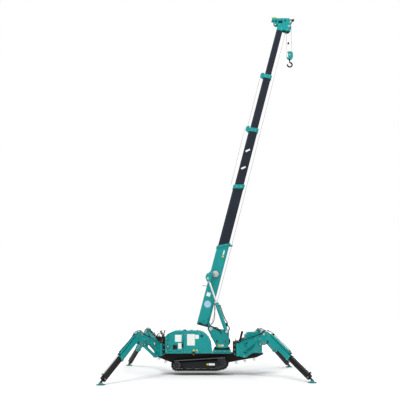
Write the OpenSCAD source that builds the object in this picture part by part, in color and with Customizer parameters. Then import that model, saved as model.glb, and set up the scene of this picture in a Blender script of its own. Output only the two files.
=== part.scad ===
// Spider crane: a narrow tracked base with four folding legs,
// a slewing column and a five-section telescopic boom.
// Millimetres, +Z up, +X towards the front box, the origin on the ground.

/* [Tracks] */
// Width of one rubber belt
belt_w = 180; // [120:5:240]
// Overall width over the belts
body_w = 750; // [650:10:900]
// Height of the lug tips above the ground
belt_low = 95; // [60:5:150]
// Thickness of the rubber belt without its lugs
belt_t = 26; // [18:1:35]
// Height of one lug
lug_h = 22; // [12:1:30]
// Number of lugs along one belt
lug_n = 44; // [36:2:52]
// Outer radius of the belt at the rear wheel, over the lugs
rear_r = 140; // [120:5:160]
// Outer radius of the belt at the front wheel, over the lugs
front_r = 170; // [150:5:190]

/* [Body] */
// Height of the deck plate's underside
deck_z = 521; // [500:1:560]
// Thickness of the deck plate
deck_t = 12; // [8:1:20]
// Width of the engine cover
cover_w = 720; // [650:10:760]
// Top of the engine cover
cover_top = 1064; // [950:1:1150]
// Thickness of the cover's sheet
sheet_t = 12; // [8:1:20]

/* [Turret] */
// Distance of the slew axis ahead of the middle
slew_x = 354; // [300:1:400]
// Distance between the column's side plates
column_in = 240; // [230:2:260]
// Thickness of one side plate
plate_t = 22; // [14:1:30]

/* [Boom] */
// Angle of the boom above the level
boom_deg = 75; // [0:1:80]
// Distance of the boom's axis behind its pivot
boom_off = 220; // [200:5:240]
// Wall of the boom sections
wall = 6; // [4:1:8]
// Clearance between a section and the collar it slides in
slide_gap = 1; // [0.5:0.5:3]
// Radial clearance of every turning pin in its bore
pin_gap = 0.05; // [0.02:0.01:0.1]

/* [Legs] */
// Height of the knee pins
knee_z = 1010; // [900:10:1100]
// Reach of the arm from its swing pin to the knee
arm_reach = 890; // [800:10:950]
// Radius of one foot pad
pad_r = 95; // [80:5:120]
// Diameter of the swing pin
swing_pin_d = 60; // [50:2:70]
// Diameter of the knee pin
knee_pin_d = 40; // [30:2:50]

/* [Hidden] */
$fn = 48;

green = [0.11, 0.60, 0.57];
dark = [0.16, 0.19, 0.23];
black = [0.06, 0.06, 0.07];
steel = [0.62, 0.63, 0.65];

// The machine is drawn about the middle of its legs and moved to the middle
// of its whole length, which the boom's head makes longer at the front
mid_x = 36;
module place() { translate([-mid_x, 0, 0]) children(); }

// A flat outline in x and z, given a width in y
module slab(y0, y1) {
  translate([0, y1, 0]) rotate([90, 0, 0]) linear_extrude(y1 - y0) children();
}
// A round bar along y
module bar_y(x, z, d, y0, y1) {
  translate([x, y0, z]) rotate([-90, 0, 0]) cylinder(d = d, h = y1 - y0);
}
// A box from its low to its high corner
module block(lo, hi) {
  translate(lo) cube([hi[0] - lo[0], hi[1] - lo[1], hi[2] - lo[2]]);
}
// The same pieces on the near and the far side
module both_sides() {
  children();
  mirror([0, 1, 0]) children();
}

// Track: the belt runs round three circles, rear, low front and front wheel.
// Each row is x, z and the outer radius over the lugs, in the order of travel
low_r = 100;
track_c = [
  [-770, belt_low + rear_r, rear_r],
  [200, belt_low + low_r, low_r],
  [340, 295, front_r]
];
// The middle height of the belt's centre plane in y
belt_y = (body_w - belt_w) / 2;
// Half the width of the car body between the belts, with its clearance to them
hull_gap = 11;
hull_half = body_w / 2 - belt_w - hull_gap;
function turn_deg(a) = a < 0 ? a + 360 : a;
// Direction in which the straight run from circle i to the next faces outwards
function run_face(i, off) =
  let (a = track_c[i], b = track_c[(i + 1) % 3],
       dx = b[0] - a[0], dz = b[1] - a[1], dist = sqrt(dx * dx + dz * dz))
  atan2(dz, dx) - acos((a[2] - b[2]) / dist);
function rim(i, ang, off) =
  [track_c[i][0] + (track_c[i][2] + off) * cos(ang),
   track_c[i][1] + (track_c[i][2] + off) * sin(ang)];
// Angle swept round circle i and length of the straight run that leaves it
function swept(i) = turn_deg((run_face(i, 0) - run_face((i + 2) % 3, 0)) % 360);
function arc_len(i) = swept(i) * PI / 180 * (track_c[i][2] - lug_h);
function run_len(i) =
  norm(rim((i + 1) % 3, run_face(i, 0), -lug_h) - rim(i, run_face(i, 0), -lug_h));
loop_len = arc_len(0) + run_len(0) + arc_len(1) + run_len(1) + arc_len(2) + run_len(2);
// Point at distance s along the loop, raised by off from the lugs' tips
function along(s, off, i = 0) =
  s < arc_len(i) || i > 2
    ? rim(i, run_face((i + 2) % 3, 0) + swept(i) * s / arc_len(i), off)
    : s - arc_len(i) < run_len(i)
      ? let (t = (s - arc_len(i)) / run_len(i), f = run_face(i, 0))
        rim(i, f, off) * (1 - t) + rim((i + 1) % 3, f, off) * t
      : i == 2 ? along(s - arc_len(i) - run_len(i), off, 0)
        : along(s - arc_len(i) - run_len(i), off, i + 1);
pitch = loop_len / lug_n;
// Outline of the belt with its lugs; phase shifts them by a part of a pitch
function lug_outline(phase) = [
  for (k = [0:lug_n - 1])
    let (s = (k + phase) * pitch)
    for (q = [[0.04, -lug_h], [0.14, 0], [0.44, 0], [0.54, -lug_h]])
      along(s + q[0] * pitch > loop_len ? s + q[0] * pitch - loop_len : s + q[0] * pitch,
            q[1])
];
// Inner face: flats that touch each wheel's circle from outside
wrap_steps = 14;
function inner_outline() = [
  for (i = [0:2])
    let (r = track_c[i][2] - lug_h - belt_t, a0 = run_face((i + 2) % 3, 0), da = swept(i) / wrap_steps)
      for (k = [-0.5:1:wrap_steps])
        let (a = a0 + min(max(k, 0), wrap_steps) * da,
             grow = k < 0 || k > wrap_steps ? 1 : 1 / cos(da / 2))
          [track_c[i][0] + r * grow * cos(a), track_c[i][1] + r * grow * sin(a)]
];

module belt() {
  y0 = belt_y - belt_w / 2;
  difference() {
    union() {
      slab(y0, y0 + belt_w * 0.52) polygon(lug_outline(0));
      slab(y0 + belt_w * 0.48, y0 + belt_w) polygon(lug_outline(0.5));
    }
    slab(y0 - 1, y0 + belt_w + 1) polygon(inner_outline());
  }
}
module track_belts() { color(black) both_sides() belt(); }

roller_x = [-560, -370, -180, 10];
roller_r = 38;
floor_z = belt_low + lug_h + belt_t;
module track_frame() {
  // Centre box, its two cheek plates, and the two arms to the car body
  slab(belt_y - 30, belt_y + 30)
    polygon([[-640, 262], [-600, 232], [120, 232], [195, 262], [195, 330], [-640, 300]]);
  for (s = [-1, 1])
    difference() {
      slab(belt_y + s * 38 - 8, belt_y + s * 38 + 8)
        polygon([[-655, 268], [-615, 172], [60, 172], [190, 200], [380, 255],
                 [380, 330], [190, 345], [-655, 306]]);
      for (x = roller_x) bar_y(x, floor_z + roller_r + 0.5, 24, belt_y - 60, belt_y + 60);
      bar_y(track_c[1][0], track_c[1][1], 24, belt_y - 60, belt_y + 60);
      bar_y(track_c[2][0], track_c[2][1], 36, belt_y - 60, belt_y + 60);
    }
  for (x = [-470, 60]) block([x - 45, hull_half, 240], [x + 45, belt_y - 46, 305]);
}
module track_frames() { color(dark) both_sides() track_frame(); }

module track_wheel_set() {
  // Drive wheel on its motor, which reaches in to the car body
  wheel_r = rear_r - lug_h - belt_t - 0.5;
  idler_r = front_r - lug_h - belt_t - 0.5;
  low_wheel = low_r - lug_h - belt_t - 0.5;
  difference() {
    bar_y(track_c[0][0], track_c[0][1], 2 * wheel_r, belt_y - 35, belt_y + 35);
    for (a = [30:60:330])
      bar_y(track_c[0][0] + 60 * cos(a), track_c[0][1] + 60 * sin(a), 22,
            belt_y - 40, belt_y + 40);
  }
  bar_y(track_c[0][0], track_c[0][1], 90, belt_y + 35, belt_y + 62);
  bar_y(track_c[0][0], track_c[0][1], 110, hull_half - 34, belt_y - 35);
  // Front wheel and rollers, each with its axle through the cheek plates
  bar_y(track_c[2][0], track_c[2][1], 2 * idler_r, belt_y - 29.5, belt_y + 29.5);
  bar_y(track_c[2][0], track_c[2][1], 36, belt_y - 52, belt_y + 52);
  bar_y(track_c[1][0], track_c[1][1], 2 * low_wheel, belt_y - 29.5, belt_y + 29.5);
  bar_y(track_c[1][0], track_c[1][1], 24, belt_y - 52, belt_y + 52);
  for (x = roller_x) {
    bar_y(x, floor_z + roller_r + 0.5, 2 * roller_r, belt_y - 29.5, belt_y + 29.5);
    bar_y(x, floor_z + roller_r + 0.5, 24, belt_y - 52, belt_y + 52);
  }
}
module track_wheels() { color(steel) both_sides() track_wheel_set(); }

// Main frame: car body between the tracks, sloping ends and the leg brackets
rear_pin = [-1180, 300];
front_pin = [750, 300];
tube_d = 120;
tube_lo = 455;
// Half the width of the sloping ends, clear of the swing tubes
flank_half = rear_pin[1] - tube_d / 2 - 10;
tube_hi = 765;
// The bracket's post, behind the swing pin
post_in = 67;
post_out = 114;
module leg_bracket(p, dir, inner_y) {
  // Upper and lower ear with the swing pin between them
  difference() {
    for (z = [[tube_lo - 27, tube_lo - 1], [tube_hi + 1, tube_hi + 23]])
      union() {
        translate([p[0], p[1], z[0]]) cylinder(d = tube_d + 6, h = z[1] - z[0]);
        block([min(p[0], p[0] + dir * post_out), inner_y - 20, z[0]],
              [max(p[0], p[0] + dir * post_out), p[1] + 20, z[1]]);
      }
    translate([p[0], p[1], 0]) cylinder(d = swing_pin_d, h = 1200);
  }
  // Post that ties the ears together, on the side away from the leg
  block([min(p[0] + dir * post_in, p[0] + dir * post_out), inner_y - 20, tube_lo - 27],
        [max(p[0] + dir * post_in, p[0] + dir * post_out), p[1] + 20, tube_hi + 23]);
  // Swing pin with its head
  translate([p[0], p[1], tube_lo - 40]) cylinder(d = swing_pin_d, h = tube_hi - tube_lo + 75);
  translate([p[0], p[1], tube_hi + 23]) cylinder(d = swing_pin_d + 24, h = 12);
  translate([p[0], p[1], tube_lo - 40]) cylinder(d = swing_pin_d + 24, h = 13);
}
// Each row is x, y and height of one lashing eye
lash_eye = [[-1225, 215, 400], [-1060, 215, 334], [700, 200, 314], [920, 200, 350],
            [1150, 200, 388]];
ring_wire = 12;
ring_r = 24;
module main_frame() {
  color(black) {
    difference() {
      union() {
        slab(-hull_half, hull_half)
          polygon([[-1000, deck_z], [-1000, 330], [-900, 290], [500, 290], [560, 306],
                   [560, deck_z]]);
        slab(-flank_half, flank_half)
          polygon([[-1260, deck_z], [-1260, 432], [-1000, 330], [-1000, deck_z]]);
        slab(-flank_half, flank_half)
          polygon([[560, deck_z], [560, 306], [676, 330], [1207, 420], [1371, 496],
                   [1371, deck_z]]);
      }
      // Motor recess on each side
      for (s = [-1, 1])
        bar_y(track_c[0][0], track_c[0][1], 111, s * (hull_half + 6) - 20,
              s * (hull_half + 6) + 20);
    }
    both_sides() {
      leg_bracket(rear_pin, 1, 230);
      leg_bracket(front_pin, -1, 204);
      // Eyes for the lashing rings, in the sloping underside
      for (e = lash_eye)
        difference() {
          block([e[0] - 3, e[1] - 18, e[2] - 16], [e[0] + 3, e[1] + 18, e[2] + 30]);
          translate([e[0] - 10, e[1], e[2]]) rotate([0, 90, 0]) cylinder(d = ring_wire + 0.6, h = 20);
        }
    }
  }
}

module deck() {
  color(green) {
    // Rear plate, which the covers stand on
    block([-1062, -368, deck_z], [568, 368, deck_z + deck_t]);
    // Raised step under the slew ring
    difference() {
      block([130, -300, deck_z + deck_t], [568, 300, 598]);
      translate([slew_x, 0, 500]) cylinder(d = 200, h = 200);
    }
  }
}

// Engine cover: a hollow sheet shell over the rear half of the deck.
// Outline in x and z, the front edge rounded off in steps of its radius
cover_lo = deck_z + deck_t;
door_x = [-1057, -600];
nose_r = 420;
function nose_pts(grow) = [
  for (a = [90:-9:18])
    [-250 + (356 - grow) * cos(a), cover_lo + 75 + (cover_top - cover_lo - 75 - grow) * sin(a)]
];
function cover_outline(grow) = concat(
  [[-1057 + grow, cover_lo], [-1057 + grow, 930], [-1002 + grow * 0.6, 988 - grow * 0.5],
   [-830, cover_top - grow]],
  nose_pts(grow),
  [[106 - grow, cover_lo + 40], [106 - grow, cover_lo]]
);
cover_half = cover_w / 2;
module engine_cover() {
  color(green) difference() {
    slab(-cover_half, cover_half) polygon(cover_outline(0));
    // Hollow inside
    translate([0, 0, -1]) slab(-cover_half + sheet_t, cover_half - sheet_t)
      polygon(cover_outline(sheet_t));
    // Doorway in the near side
    slab(-cover_half - 1, -cover_half + sheet_t + 1)
      polygon([[door_x[0] + 60, cover_lo + 30], [door_x[1], cover_lo + 30],
               [door_x[1], 1010], [-960, 1010], [door_x[0] + 60, 940]]);
    // Vents in the far side
    for (k = [0:7])
      block([-460, cover_half - sheet_t - 1, 640 + k * 36],
            [-160, cover_half + 1, 656 + k * 36]);
    // Exhaust hole in the top
    translate([-420, 180, 1000]) cylinder(d = 70, h = 100);
  }
  // Door hinges: fixed knuckles above and below the door's, with their pin
  color(dark) for (z = hinge_z) {
    translate([hinge_x, hinge_y, z - 21]) cylinder(d = hinge_pin_d, h = 102);
    for (e = [z - 21, z + 61]) {
      translate([hinge_x, hinge_y, e]) cylinder(d = 18, h = 20);
      block([hinge_x - 32, hinge_y + 2, e], [hinge_x - 6, -cover_half, e + 20]);
    }
  }
  color(dark) {
    // Exhaust stub
    difference() {
      translate([-420, 180, cover_top - sheet_t - 40]) cylinder(d = 69, h = 62);
      translate([-420, 180, cover_top - sheet_t - 10]) cylinder(d = 57, h = 62);
    }
    translate([-420, 180, cover_top]) difference() {
      cylinder(d = 96, h = 6);
      translate([0, 0, -1]) cylinder(d = 60, h = 8);
    }
  }
}
// Service door in the near side, hinged at its rear edge
door_gap = 6;
hinge_x = door_x[0] + 60 + 14;
hinge_y = -cover_half - 10;
hinge_z = [640, 860];
hinge_pin_d = 8;
module service_door() {
  color(green) {
    slab(-cover_half, -cover_half + sheet_t)
      polygon([[door_x[0] + 60 + door_gap, cover_lo + 30 + door_gap],
               [door_x[1] - door_gap, cover_lo + 30 + door_gap],
               [door_x[1] - door_gap, 1010 - door_gap],
               [-960 + door_gap * 0.4, 1010 - door_gap],
               [door_x[0] + 60 + door_gap, 940 - door_gap * 0.6]]);
    // Hinge leaves and knuckles
    for (z = hinge_z)
      difference() {
        union() {
          translate([hinge_x, hinge_y, z]) cylinder(d = 18, h = 60);
          block([hinge_x, hinge_y + 2, z], [hinge_x + 34, -cover_half, z + 60]);
        }
        translate([hinge_x, hinge_y, z - 1]) cylinder(d = hinge_pin_d + 2 * pin_gap, h = 62);
      }
  }
  // Recessed handle bar
  color(dark) block([-640, -cover_half - 16, 745], [-624, -cover_half, 845]);
}

module engine_block() {
  color(steel) block([-560, -170, deck_z + deck_t], [-90, 170, 930]);
}

module control_panel() {
  color(dark) {
    // Post behind the cover, and the console with its sloping face
    block([-1205, -150, deck_z], [-1085, 150, 812]);
    slab(-175, 175)
      polygon([[-1085, 800], [-1240, 800], [-1330, 905], [-1300, 935], [-1190, 905],
               [-1085, 905]]);
  }
}
lever_y = [-135, -90, -45, 0, 45, 90, 135];
// Lean of each lever; they stand at different notches
lever_lean = [-24, -18, -27, -20, 12, 18, -16];
module control_levers() {
  color(black) for (i = [0:len(lever_y) - 1])
    translate([-1140, lever_y[i], 905]) {
      cylinder(d = 32, h = 12, $fn = 24);
      rotate([0, lever_lean[i], 0]) {
        translate([0, 0, 5]) cylinder(d = 12, h = 145, $fn = 24);
        translate([0, 0, 150]) sphere(d = 30, $fn = 24);
      }
    }
}

// Front box between the front legs, with the padded boom rest on its rear edge
module front_box() {
  color(green) difference() {
    slab(-225, 225)
      polygon([[915, deck_z], [1345, deck_z], [1345, 780], [1300, 990], [1240, 1030],
               [1000, 1030], [930, 960], [915, 760]]);
    for (y = [-226, 196])
      block([980, y, 600], [1280, y + 30, 602]);
  }
}
rest_x = 700;
module boom_rest() {
  color(black) {
    for (y = [-95, 95])
      hull() {
        translate([730, y, deck_z]) cylinder(d = 44, h = 1, $fn = 24);
        translate([868, y, 1030]) sphere(d = 44, $fn = 24);
      }
    translate([868, -95, 1030]) rotate([-90, 0, 0]) cylinder(d = 44, h = 190, $fn = 24);
  }
}

module lashing_rings() {
  color(steel) both_sides()
    for (e = lash_eye)
      translate([e[0], e[1], e[2] - ring_r]) rotate([90, 0, 0])
        rotate_extrude($fn = 24) translate([ring_r, 0]) circle(d = ring_wire, $fn = 16);
}

// Slew ring and column
ring_z = 598;
module slew_ring() {
  color(dark) difference() {
    translate([slew_x, 0, ring_z]) cylinder(d = 400, h = 40, $fn = 72);
    translate([slew_x, 0, ring_z - 1]) cylinder(d = 200, h = 42, $fn = 72);
  }
}
pivot = [70, 1110];
cyl_pin = [467, 1043];
column_out = column_in / 2 + plate_t;
pivot_d = 60;
cyl_pin_d = 44;
cyl_y = 196;
winch = [438, 800];
drum_d = 150;
flange_d = 255;
module column() {
  color(green) {
    for (s = [-1, 1])
      difference() {
        union() {
          slab(min(s * column_in / 2, s * column_out), max(s * column_in / 2, s * column_out))
            polygon([[213, 660], [495, 660], [530, 760], [530, 1040], [515, 1065],
                     [440, 1075], [120, 1130], [40, 1150], [-5, 1120], [-11, 1095]]);
        }
        bar_y(pivot[0], pivot[1], pivot_d, -400, 400);
        bar_y(winch[0], winch[1], 50, -400, 400);
      }
    // Foot plate on the slew ring
    translate([slew_x, 0, ring_z + 40.3]) cylinder(d = 390, h = 21.7, $fn = 72);
    // Webs between the side plates
    block([214, -column_in / 2, 660], [236, column_in / 2, 740]);
    slab(-column_in / 2, column_in / 2)
      polygon([[168, 760], [190, 760], [80, 940], [60, 932]]);
    // Cylinder pin with its two bosses
    bar_y(cyl_pin[0], cyl_pin[1], cyl_pin_d, -240, 240);
  }
  color(steel) {
    bar_y(pivot[0], pivot[1], pivot_d, -column_out - 12, column_out + 12);
  }
}
module winch_drum() {
  color(dark) {
    difference() {
      union() {
        bar_y(winch[0], winch[1], drum_d, -100, 100);
        for (y = [-112, 100]) bar_y(winch[0], winch[1], flange_d, y, y + 12);
      }
      bar_y(winch[0], winch[1], 110, -70, 70);
    }
    bar_y(winch[0], winch[1], 50 - 2 * pin_gap, -column_out - 10, -100);
    bar_y(winch[0], winch[1], 50 - 2 * pin_gap, 100, column_out + 10);
  }
}

// Boom. Its pieces are drawn level, u along the boom and v up its back, and turned
module boom_at() {
  translate([pivot[0], 0, pivot[1]]) rotate([0, -boom_deg, 0]) children();
}
// Chamfered cross-section in y and v, centred on the boom's axis
module profile(w, d, c) {
  polygon([[-w / 2 + c, -d / 2], [w / 2 - c, -d / 2], [w / 2, -d / 2 + c], [w / 2, d / 2 - c],
           [w / 2 - c, d / 2], [-w / 2 + c, d / 2], [-w / 2, d / 2 - c], [-w / 2, -d / 2 + c]]);
}
module prism(u0, u1, w, d, c) {
  translate([u0, 0, boom_off]) rotate([90, 0, 90]) linear_extrude(u1 - u0) profile(w, d, c);
}
// Width, depth and chamfer of each section, from the base to the last
sec_w = [220, 194, 170, 148, 126];
sec_d = [300, 268, 236, 204, 172];
sec_c = [50, 45, 40, 35, 30];
// Start and end of each section along the boom
sec_u0 = [10, 1640, 3240, 4840, 6450];
sec_u1 = [2120, 3740, 5360, 6950, 8420];
module tube(i) {
  difference() {
    prism(sec_u0[i], sec_u1[i], sec_w[i], sec_d[i], sec_c[i]);
    prism(sec_u0[i] - 1, sec_u1[i] + 1, sec_w[i] - 2 * wall, sec_d[i] - 2 * wall,
          sec_c[i] - wall * 0.6);
  }
}
// Collar at the mouth of section i, its ends cut aslant; the next slides in it
module collar(i, slant, t) {
  m = sec_u1[i];
  difference() {
    intersection() {
      prism(m - 220, m + 220, sec_w[i] + 26, sec_d[i] + 30, sec_c[i] + 8);
      translate([0, 200, 0]) rotate([90, 0, 0]) linear_extrude(400)
        polygon([[m - t - slant, boom_off + sec_d[i]], [m + t - slant, boom_off + sec_d[i]],
                 [m + t + slant, boom_off - sec_d[i]], [m - t + slant, boom_off - sec_d[i]]]);
    }
    prism(m - 400, m, sec_w[i], sec_d[i], sec_c[i]);
    prism(m - 400, m + 400, sec_w[i + 1] + 2 * slide_gap, sec_d[i + 1] + 2 * slide_gap,
          sec_c[i + 1] + slide_gap * 0.6);
  }
}
eye_uv = [1192, 382];
// Inner face of the rod eyes in y
eye_in = cyl_y - 25;
// Slant and half thickness of the base's collar; the base's mouth is cut with it
mouth_slant = 152;
mouth_t = 32;
// Outer plates of the rod-eye bracket
eye_out = cyl_y + 25;
bracket_t = 12;
module boom_base() {
  m = sec_u1[0];
  color(green) boom_at() {
    difference() {
      union() {
        difference() {
          prism(sec_u0[0], m + 130, sec_w[0], sec_d[0], sec_c[0]);
          prism(sec_u0[0] + 16, m + 131, sec_w[0] - 2 * wall, sec_d[0] - 2 * wall,
                sec_c[0] - wall * 0.6);
        }
        collar(0, mouth_slant, mouth_t);
      }
      slab(-200, 200)
        polygon([[m + mouth_t - mouth_slant, boom_off + sec_d[0]],
                 [m + mouth_t + mouth_slant, boom_off - sec_d[0]],
                 [m + 900, boom_off - sec_d[0]], [m + 900, boom_off + sec_d[0]]]);
    }
    // Rope guide on the load side of the mouth
    for (s = [-1, 1])
      slab(s * 30 - 6, s * 30 + 6)
        polygon([[m + 20, boom_off - 148], [m + 82, boom_off - 148], [m + 72, boom_off - 236],
                 [m + 44, boom_off - 236]]);
    bar_y(m + 58, boom_off - 224, 16, -36, 36);
    // Foot lugs down to the pivot
    for (s = [-1, 1])
      difference() {
        union() {
          slab(s * 88 - 22, s * 88 + 22)
            polygon([[-40, 0], [10, 72], [10, 90], [150, 90], [150, 70], [40, -20]]);
          bar_y(0, 0, 110, s * 88 - 22, s * 88 + 22);
        }
        bar_y(0, 0, pivot_d + 2 * pin_gap, -300, 300);
      }
    // Bracket for the rod eyes: inner and outer plates under a cross plate
    for (s = [-1, 1]) for (y = [sec_w[0] / 2 + bracket_t, eye_out + bracket_t / 2])
      slab(s * y - bracket_t * (y > 150 ? 0.5 : 1), s * y + bracket_t * (y > 150 ? 0.5 : 1))
        polygon([[1110, 300], [1420, 300], [1395, 371], [1262, 446], [1200, 446], [1140, 405]]);
    slab(-eye_out - bracket_t, eye_out + bracket_t)
      polygon([[1200, 446], [1262, 446], [1320, 413], [1330, 424], [1265, 458], [1200, 458]]);
    // Bosses that the rod eyes stand beside; the eyes carry their own pins
    for (s = [-1, 1])
      bar_y(eye_uv[0], eye_uv[1], 64, s > 0 ? 134 : 0.3 - eye_in, s > 0 ? eye_in - 0.3 : -134);
  }
}
module boom_section_2() { color(dark) boom_at() tube(1); }
module boom_section_3() { color(dark) boom_at() tube(2); }
module boom_section_4() { color(dark) boom_at() tube(3); }
module boom_section_5() { color(dark) boom_at() tube(4); }
// Ear on the back of a collar with the sheave of the telescoping rope
module ear(u, v) {
  difference() {
    slab(-26, 26) polygon([[u - 90, v - 40], [u + 110, v - 40], [u + 60, v + 45], [u - 30, v + 45]]);
    slab(-14, 14) polygon([[u - 200, v - 2], [u + 200, v - 2], [u + 200, v + 100], [u - 200, v + 100]]);
  }
  bar_y(u + 10, v + 18, 44, -11, 11);
  bar_y(u + 10, v + 18, 14, -26, 26);
}
module boom_collar_2() { color(green) boom_at() { collar(1, 70, 55); } }
module boom_collar_3() {
  color(green) boom_at() {
    collar(2, 20, 55);
    ear(sec_u1[2], boom_off + sec_d[2] / 2 + 15 + 36);
  }
}
module boom_collar_4() {
  color(green) boom_at() {
    collar(3, 0, 55);
    ear(sec_u1[3], boom_off + sec_d[3] / 2 + 15 + 36);
  }
}
// Head with the two sheaves that the falls leave from
head_u = sec_u1[4];
sheave_c = [2286, 9350];
// Radius at which the rope's middle runs on a sheave
sheave_r = 68;
falls_x = [sheave_c[0] - sheave_r, sheave_c[0] + sheave_r];
head_t = 12;
head_in = sec_w[4] / 2;
// Top of the head, above the sheaves' pin
head_rise = 253;
head_top = sheave_c[1] + head_rise;
module boom_head() {
  color(green) {
    // Cheek plates with their windows, drawn upright in x and z
    difference() {
      for (s = [-1, 1])
        slab(s * (head_in + head_t) - head_t, s * (head_in + head_t) + head_t)
          polygon([[1942, 9262], [2086, 9222], [2122, 9262], [2222, 9216], [2290, 9222],
                   [2338, 9268], [2348, 9340], [2332, head_top - 123], [2302, head_top - 43],
                   [2302, head_top], [1810, head_top], [1818, head_top - 31],
                   [1868, head_top - 41], [1872, head_top - 129], [1922, head_top - 181],
                   [1978, head_top - 179]]);
      bar_y(sheave_c[0], sheave_c[1], 40, -200, 200);
      slab(-100, 100)
        polygon([[1990, head_top - 69], [2104, head_top - 69], [2112, head_top - 141],
                 [2056, head_top - 163], [1994, head_top - 157]]);
      slab(-100, 100)
        polygon([[1898, head_top - 57], [1952, head_top - 57], [1946, head_top - 133],
                 [1906, head_top - 117]]);
      bar_y(2186, head_top - 75, 46, -100, 100);
    }
    // Top plate, closing plate and cross bar between the cheeks
    block([1822, -head_in, head_top - 20], [2290, head_in, head_top]);
    slab(-head_in, head_in)
      polygon([[2128, 9290], [2140, 9290], [2170, head_top - 103], [2158, head_top - 103]]);
    bar_y(2318, head_top - 153, 26, -head_in, head_in);
    // Lamp on the top plate
    slab(-42, 42)
      polygon([[1826, head_top], [1826, head_top + 46], [1842, head_top + 63],
               [1926, head_top + 63], [1942, head_top + 46], [1942, head_top]]);
  }
  color(steel) bar_y(sheave_c[0], sheave_c[1], 40 - 2 * pin_gap, -96, 96);
}
rope_d = 10;
// A grooved wheel; the rope lies in it with its middle at sheave_r
module sheave(x, y, z) {
  g = sheave_r - rope_d / 2 - 0.2;
  translate([x, y - 10, z]) rotate([-90, 0, 0])
    rotate_extrude() polygon([[20, 0], [74, 0], [g, 6], [g, 14], [74, 20], [20, 20]]);
}
module head_sheaves() {
  color(dark) {
    for (y = [-32, 0, 32]) sheave(sheave_c[0], y, sheave_c[1]);
    // Guide arm ahead of the top plate, with its roller
    slab(-16, 16)
      polygon([[2290, head_top - 20], [2290, head_top], [2400, head_top],
               [2424, head_top - 13], [2424, head_top - 37], [2404, head_top - 43],
               [2356, head_top - 163], [2334, head_top - 155], [2378, head_top - 24]]);
    bar_y(2419, head_top - 26, 54, -30, 30);
  }
}

// Lift cylinders: a pair of barrels beside the boom
rod_eye = [pivot[0] + eye_uv[0] * cos(boom_deg) - eye_uv[1] * sin(boom_deg),
           pivot[1] + eye_uv[0] * sin(boom_deg) + eye_uv[1] * cos(boom_deg)];
lift_dx = rod_eye[0] - cyl_pin[0];
lift_dz = rod_eye[1] - cyl_pin[1];
lift_len = sqrt(lift_dx * lift_dx + lift_dz * lift_dz);
lift_ang = atan2(lift_dz, lift_dx);
module lift_at() {
  translate([cyl_pin[0], 0, cyl_pin[1]]) rotate([0, -lift_ang, 0]) children();
}
module bar_u(u0, u1, d, y, w = 0) {
  translate([u0, y, w]) rotate([0, 90, 0]) cylinder(d = d, h = u1 - u0);
}
module lift_cylinders() {
  color(green) lift_at() for (s = [-1, 1]) {
    difference() {
      union() {
        bar_u(50, 730, 90, s * cyl_y);
        bar_u(700, 745, 98, s * cyl_y);
        bar_u(0, 60, 60, s * cyl_y);
        bar_y(0, 0, 84, s * cyl_y - 24, s * cyl_y + 24);
      }
      bar_u(80, 800, 50.4, s * cyl_y);
      bar_y(0, 0, cyl_pin_d + 2 * pin_gap, s * cyl_y - 60, s * cyl_y + 60);
    }
  }
}
module lift_rods() {
  color(steel) lift_at() for (s = [-1, 1]) {
    bar_u(600, lift_len - 20, 50, s * cyl_y);
    bar_y(lift_len, 0, 68, s > 0 ? eye_in : 0.5 - eye_out, s > 0 ? eye_out - 0.5 : -eye_in);
  }
}

// Hoist: two falls, the hook block and its swivel hook
hook_x = sheave_c[0];
// The block's sheave hangs this far below the head's
block_drop = 830;
block_z = sheave_c[1] - block_drop;
shank_d = 28;
module hoist_falls() {
  color(steel) {
    for (x = falls_x)
      translate([x, 0, block_z]) cylinder(d = rope_d, h = sheave_c[1] - block_z);
  }
}
// Underside and thickness of the cross bar, below the block's sheave
bar_low = 111;
bar_t = 19;
// Mean radius and wire of the hook's bow, and the drop of its middle
bow_r = 64;
bow_d = 40;
bow_drop = 273;
module hook_block() {
  translate([hook_x, 0, block_z]) {
    color(green) {
      for (s = [-1, 1])
        slab(s * 30 - 8, s * 30 + 8)
          polygon([[-74, -70], [-46, -bar_low], [54, -bar_low], [93, -70], [93, 70], [50, 111],
                   [-36, 111], [-74, 70]]);
      difference() {
        block([-46, -22, -bar_low], [54, 22, bar_t - bar_low]);
        translate([0, 0, -240]) cylinder(d = shank_d + 2 * pin_gap, h = 200);
      }
    }
    color(dark) bar_y(0, 0, 40, -44, 44);
  }
  color(dark) sheave(hook_x, 0, block_z);
}
module hook() {
  // Collar, shank through the block's cross bar, its nut, and the bow
  color(black) translate([hook_x, 0, block_z]) {
    translate([0, 0, -bar_low - 37]) cylinder(d = 46, h = 36);
    translate([0, 0, bow_r - bow_drop - 6]) cylinder(d = shank_d, h = bow_drop - bow_r - 72);
    translate([0, 0, bar_t + 1 - bar_low]) cylinder(d = 42, h = 13);
    translate([0, 0, -bow_drop]) rotate([90, 185, 0])
      rotate_extrude(angle = 275, $fn = 40) translate([bow_r, 0]) circle(d = bow_d, $fn = 24);
  }
}
reel_uv = [1354, boom_off + 13];
module cord_reel() {
  color(steel) boom_at() translate([reel_uv[0], 0, reel_uv[1]]) {
    bar_y(0, 0, 60, -137, -sec_w[0] / 2);
    bar_y(0, 0, 172, -150, -137);
    // Domed cover
    intersection() {
      translate([0, -80, 0]) sphere(d = 222, $fn = 64);
      bar_y(0, 0, 166, -200, -150);
    }
  }
}

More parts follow.
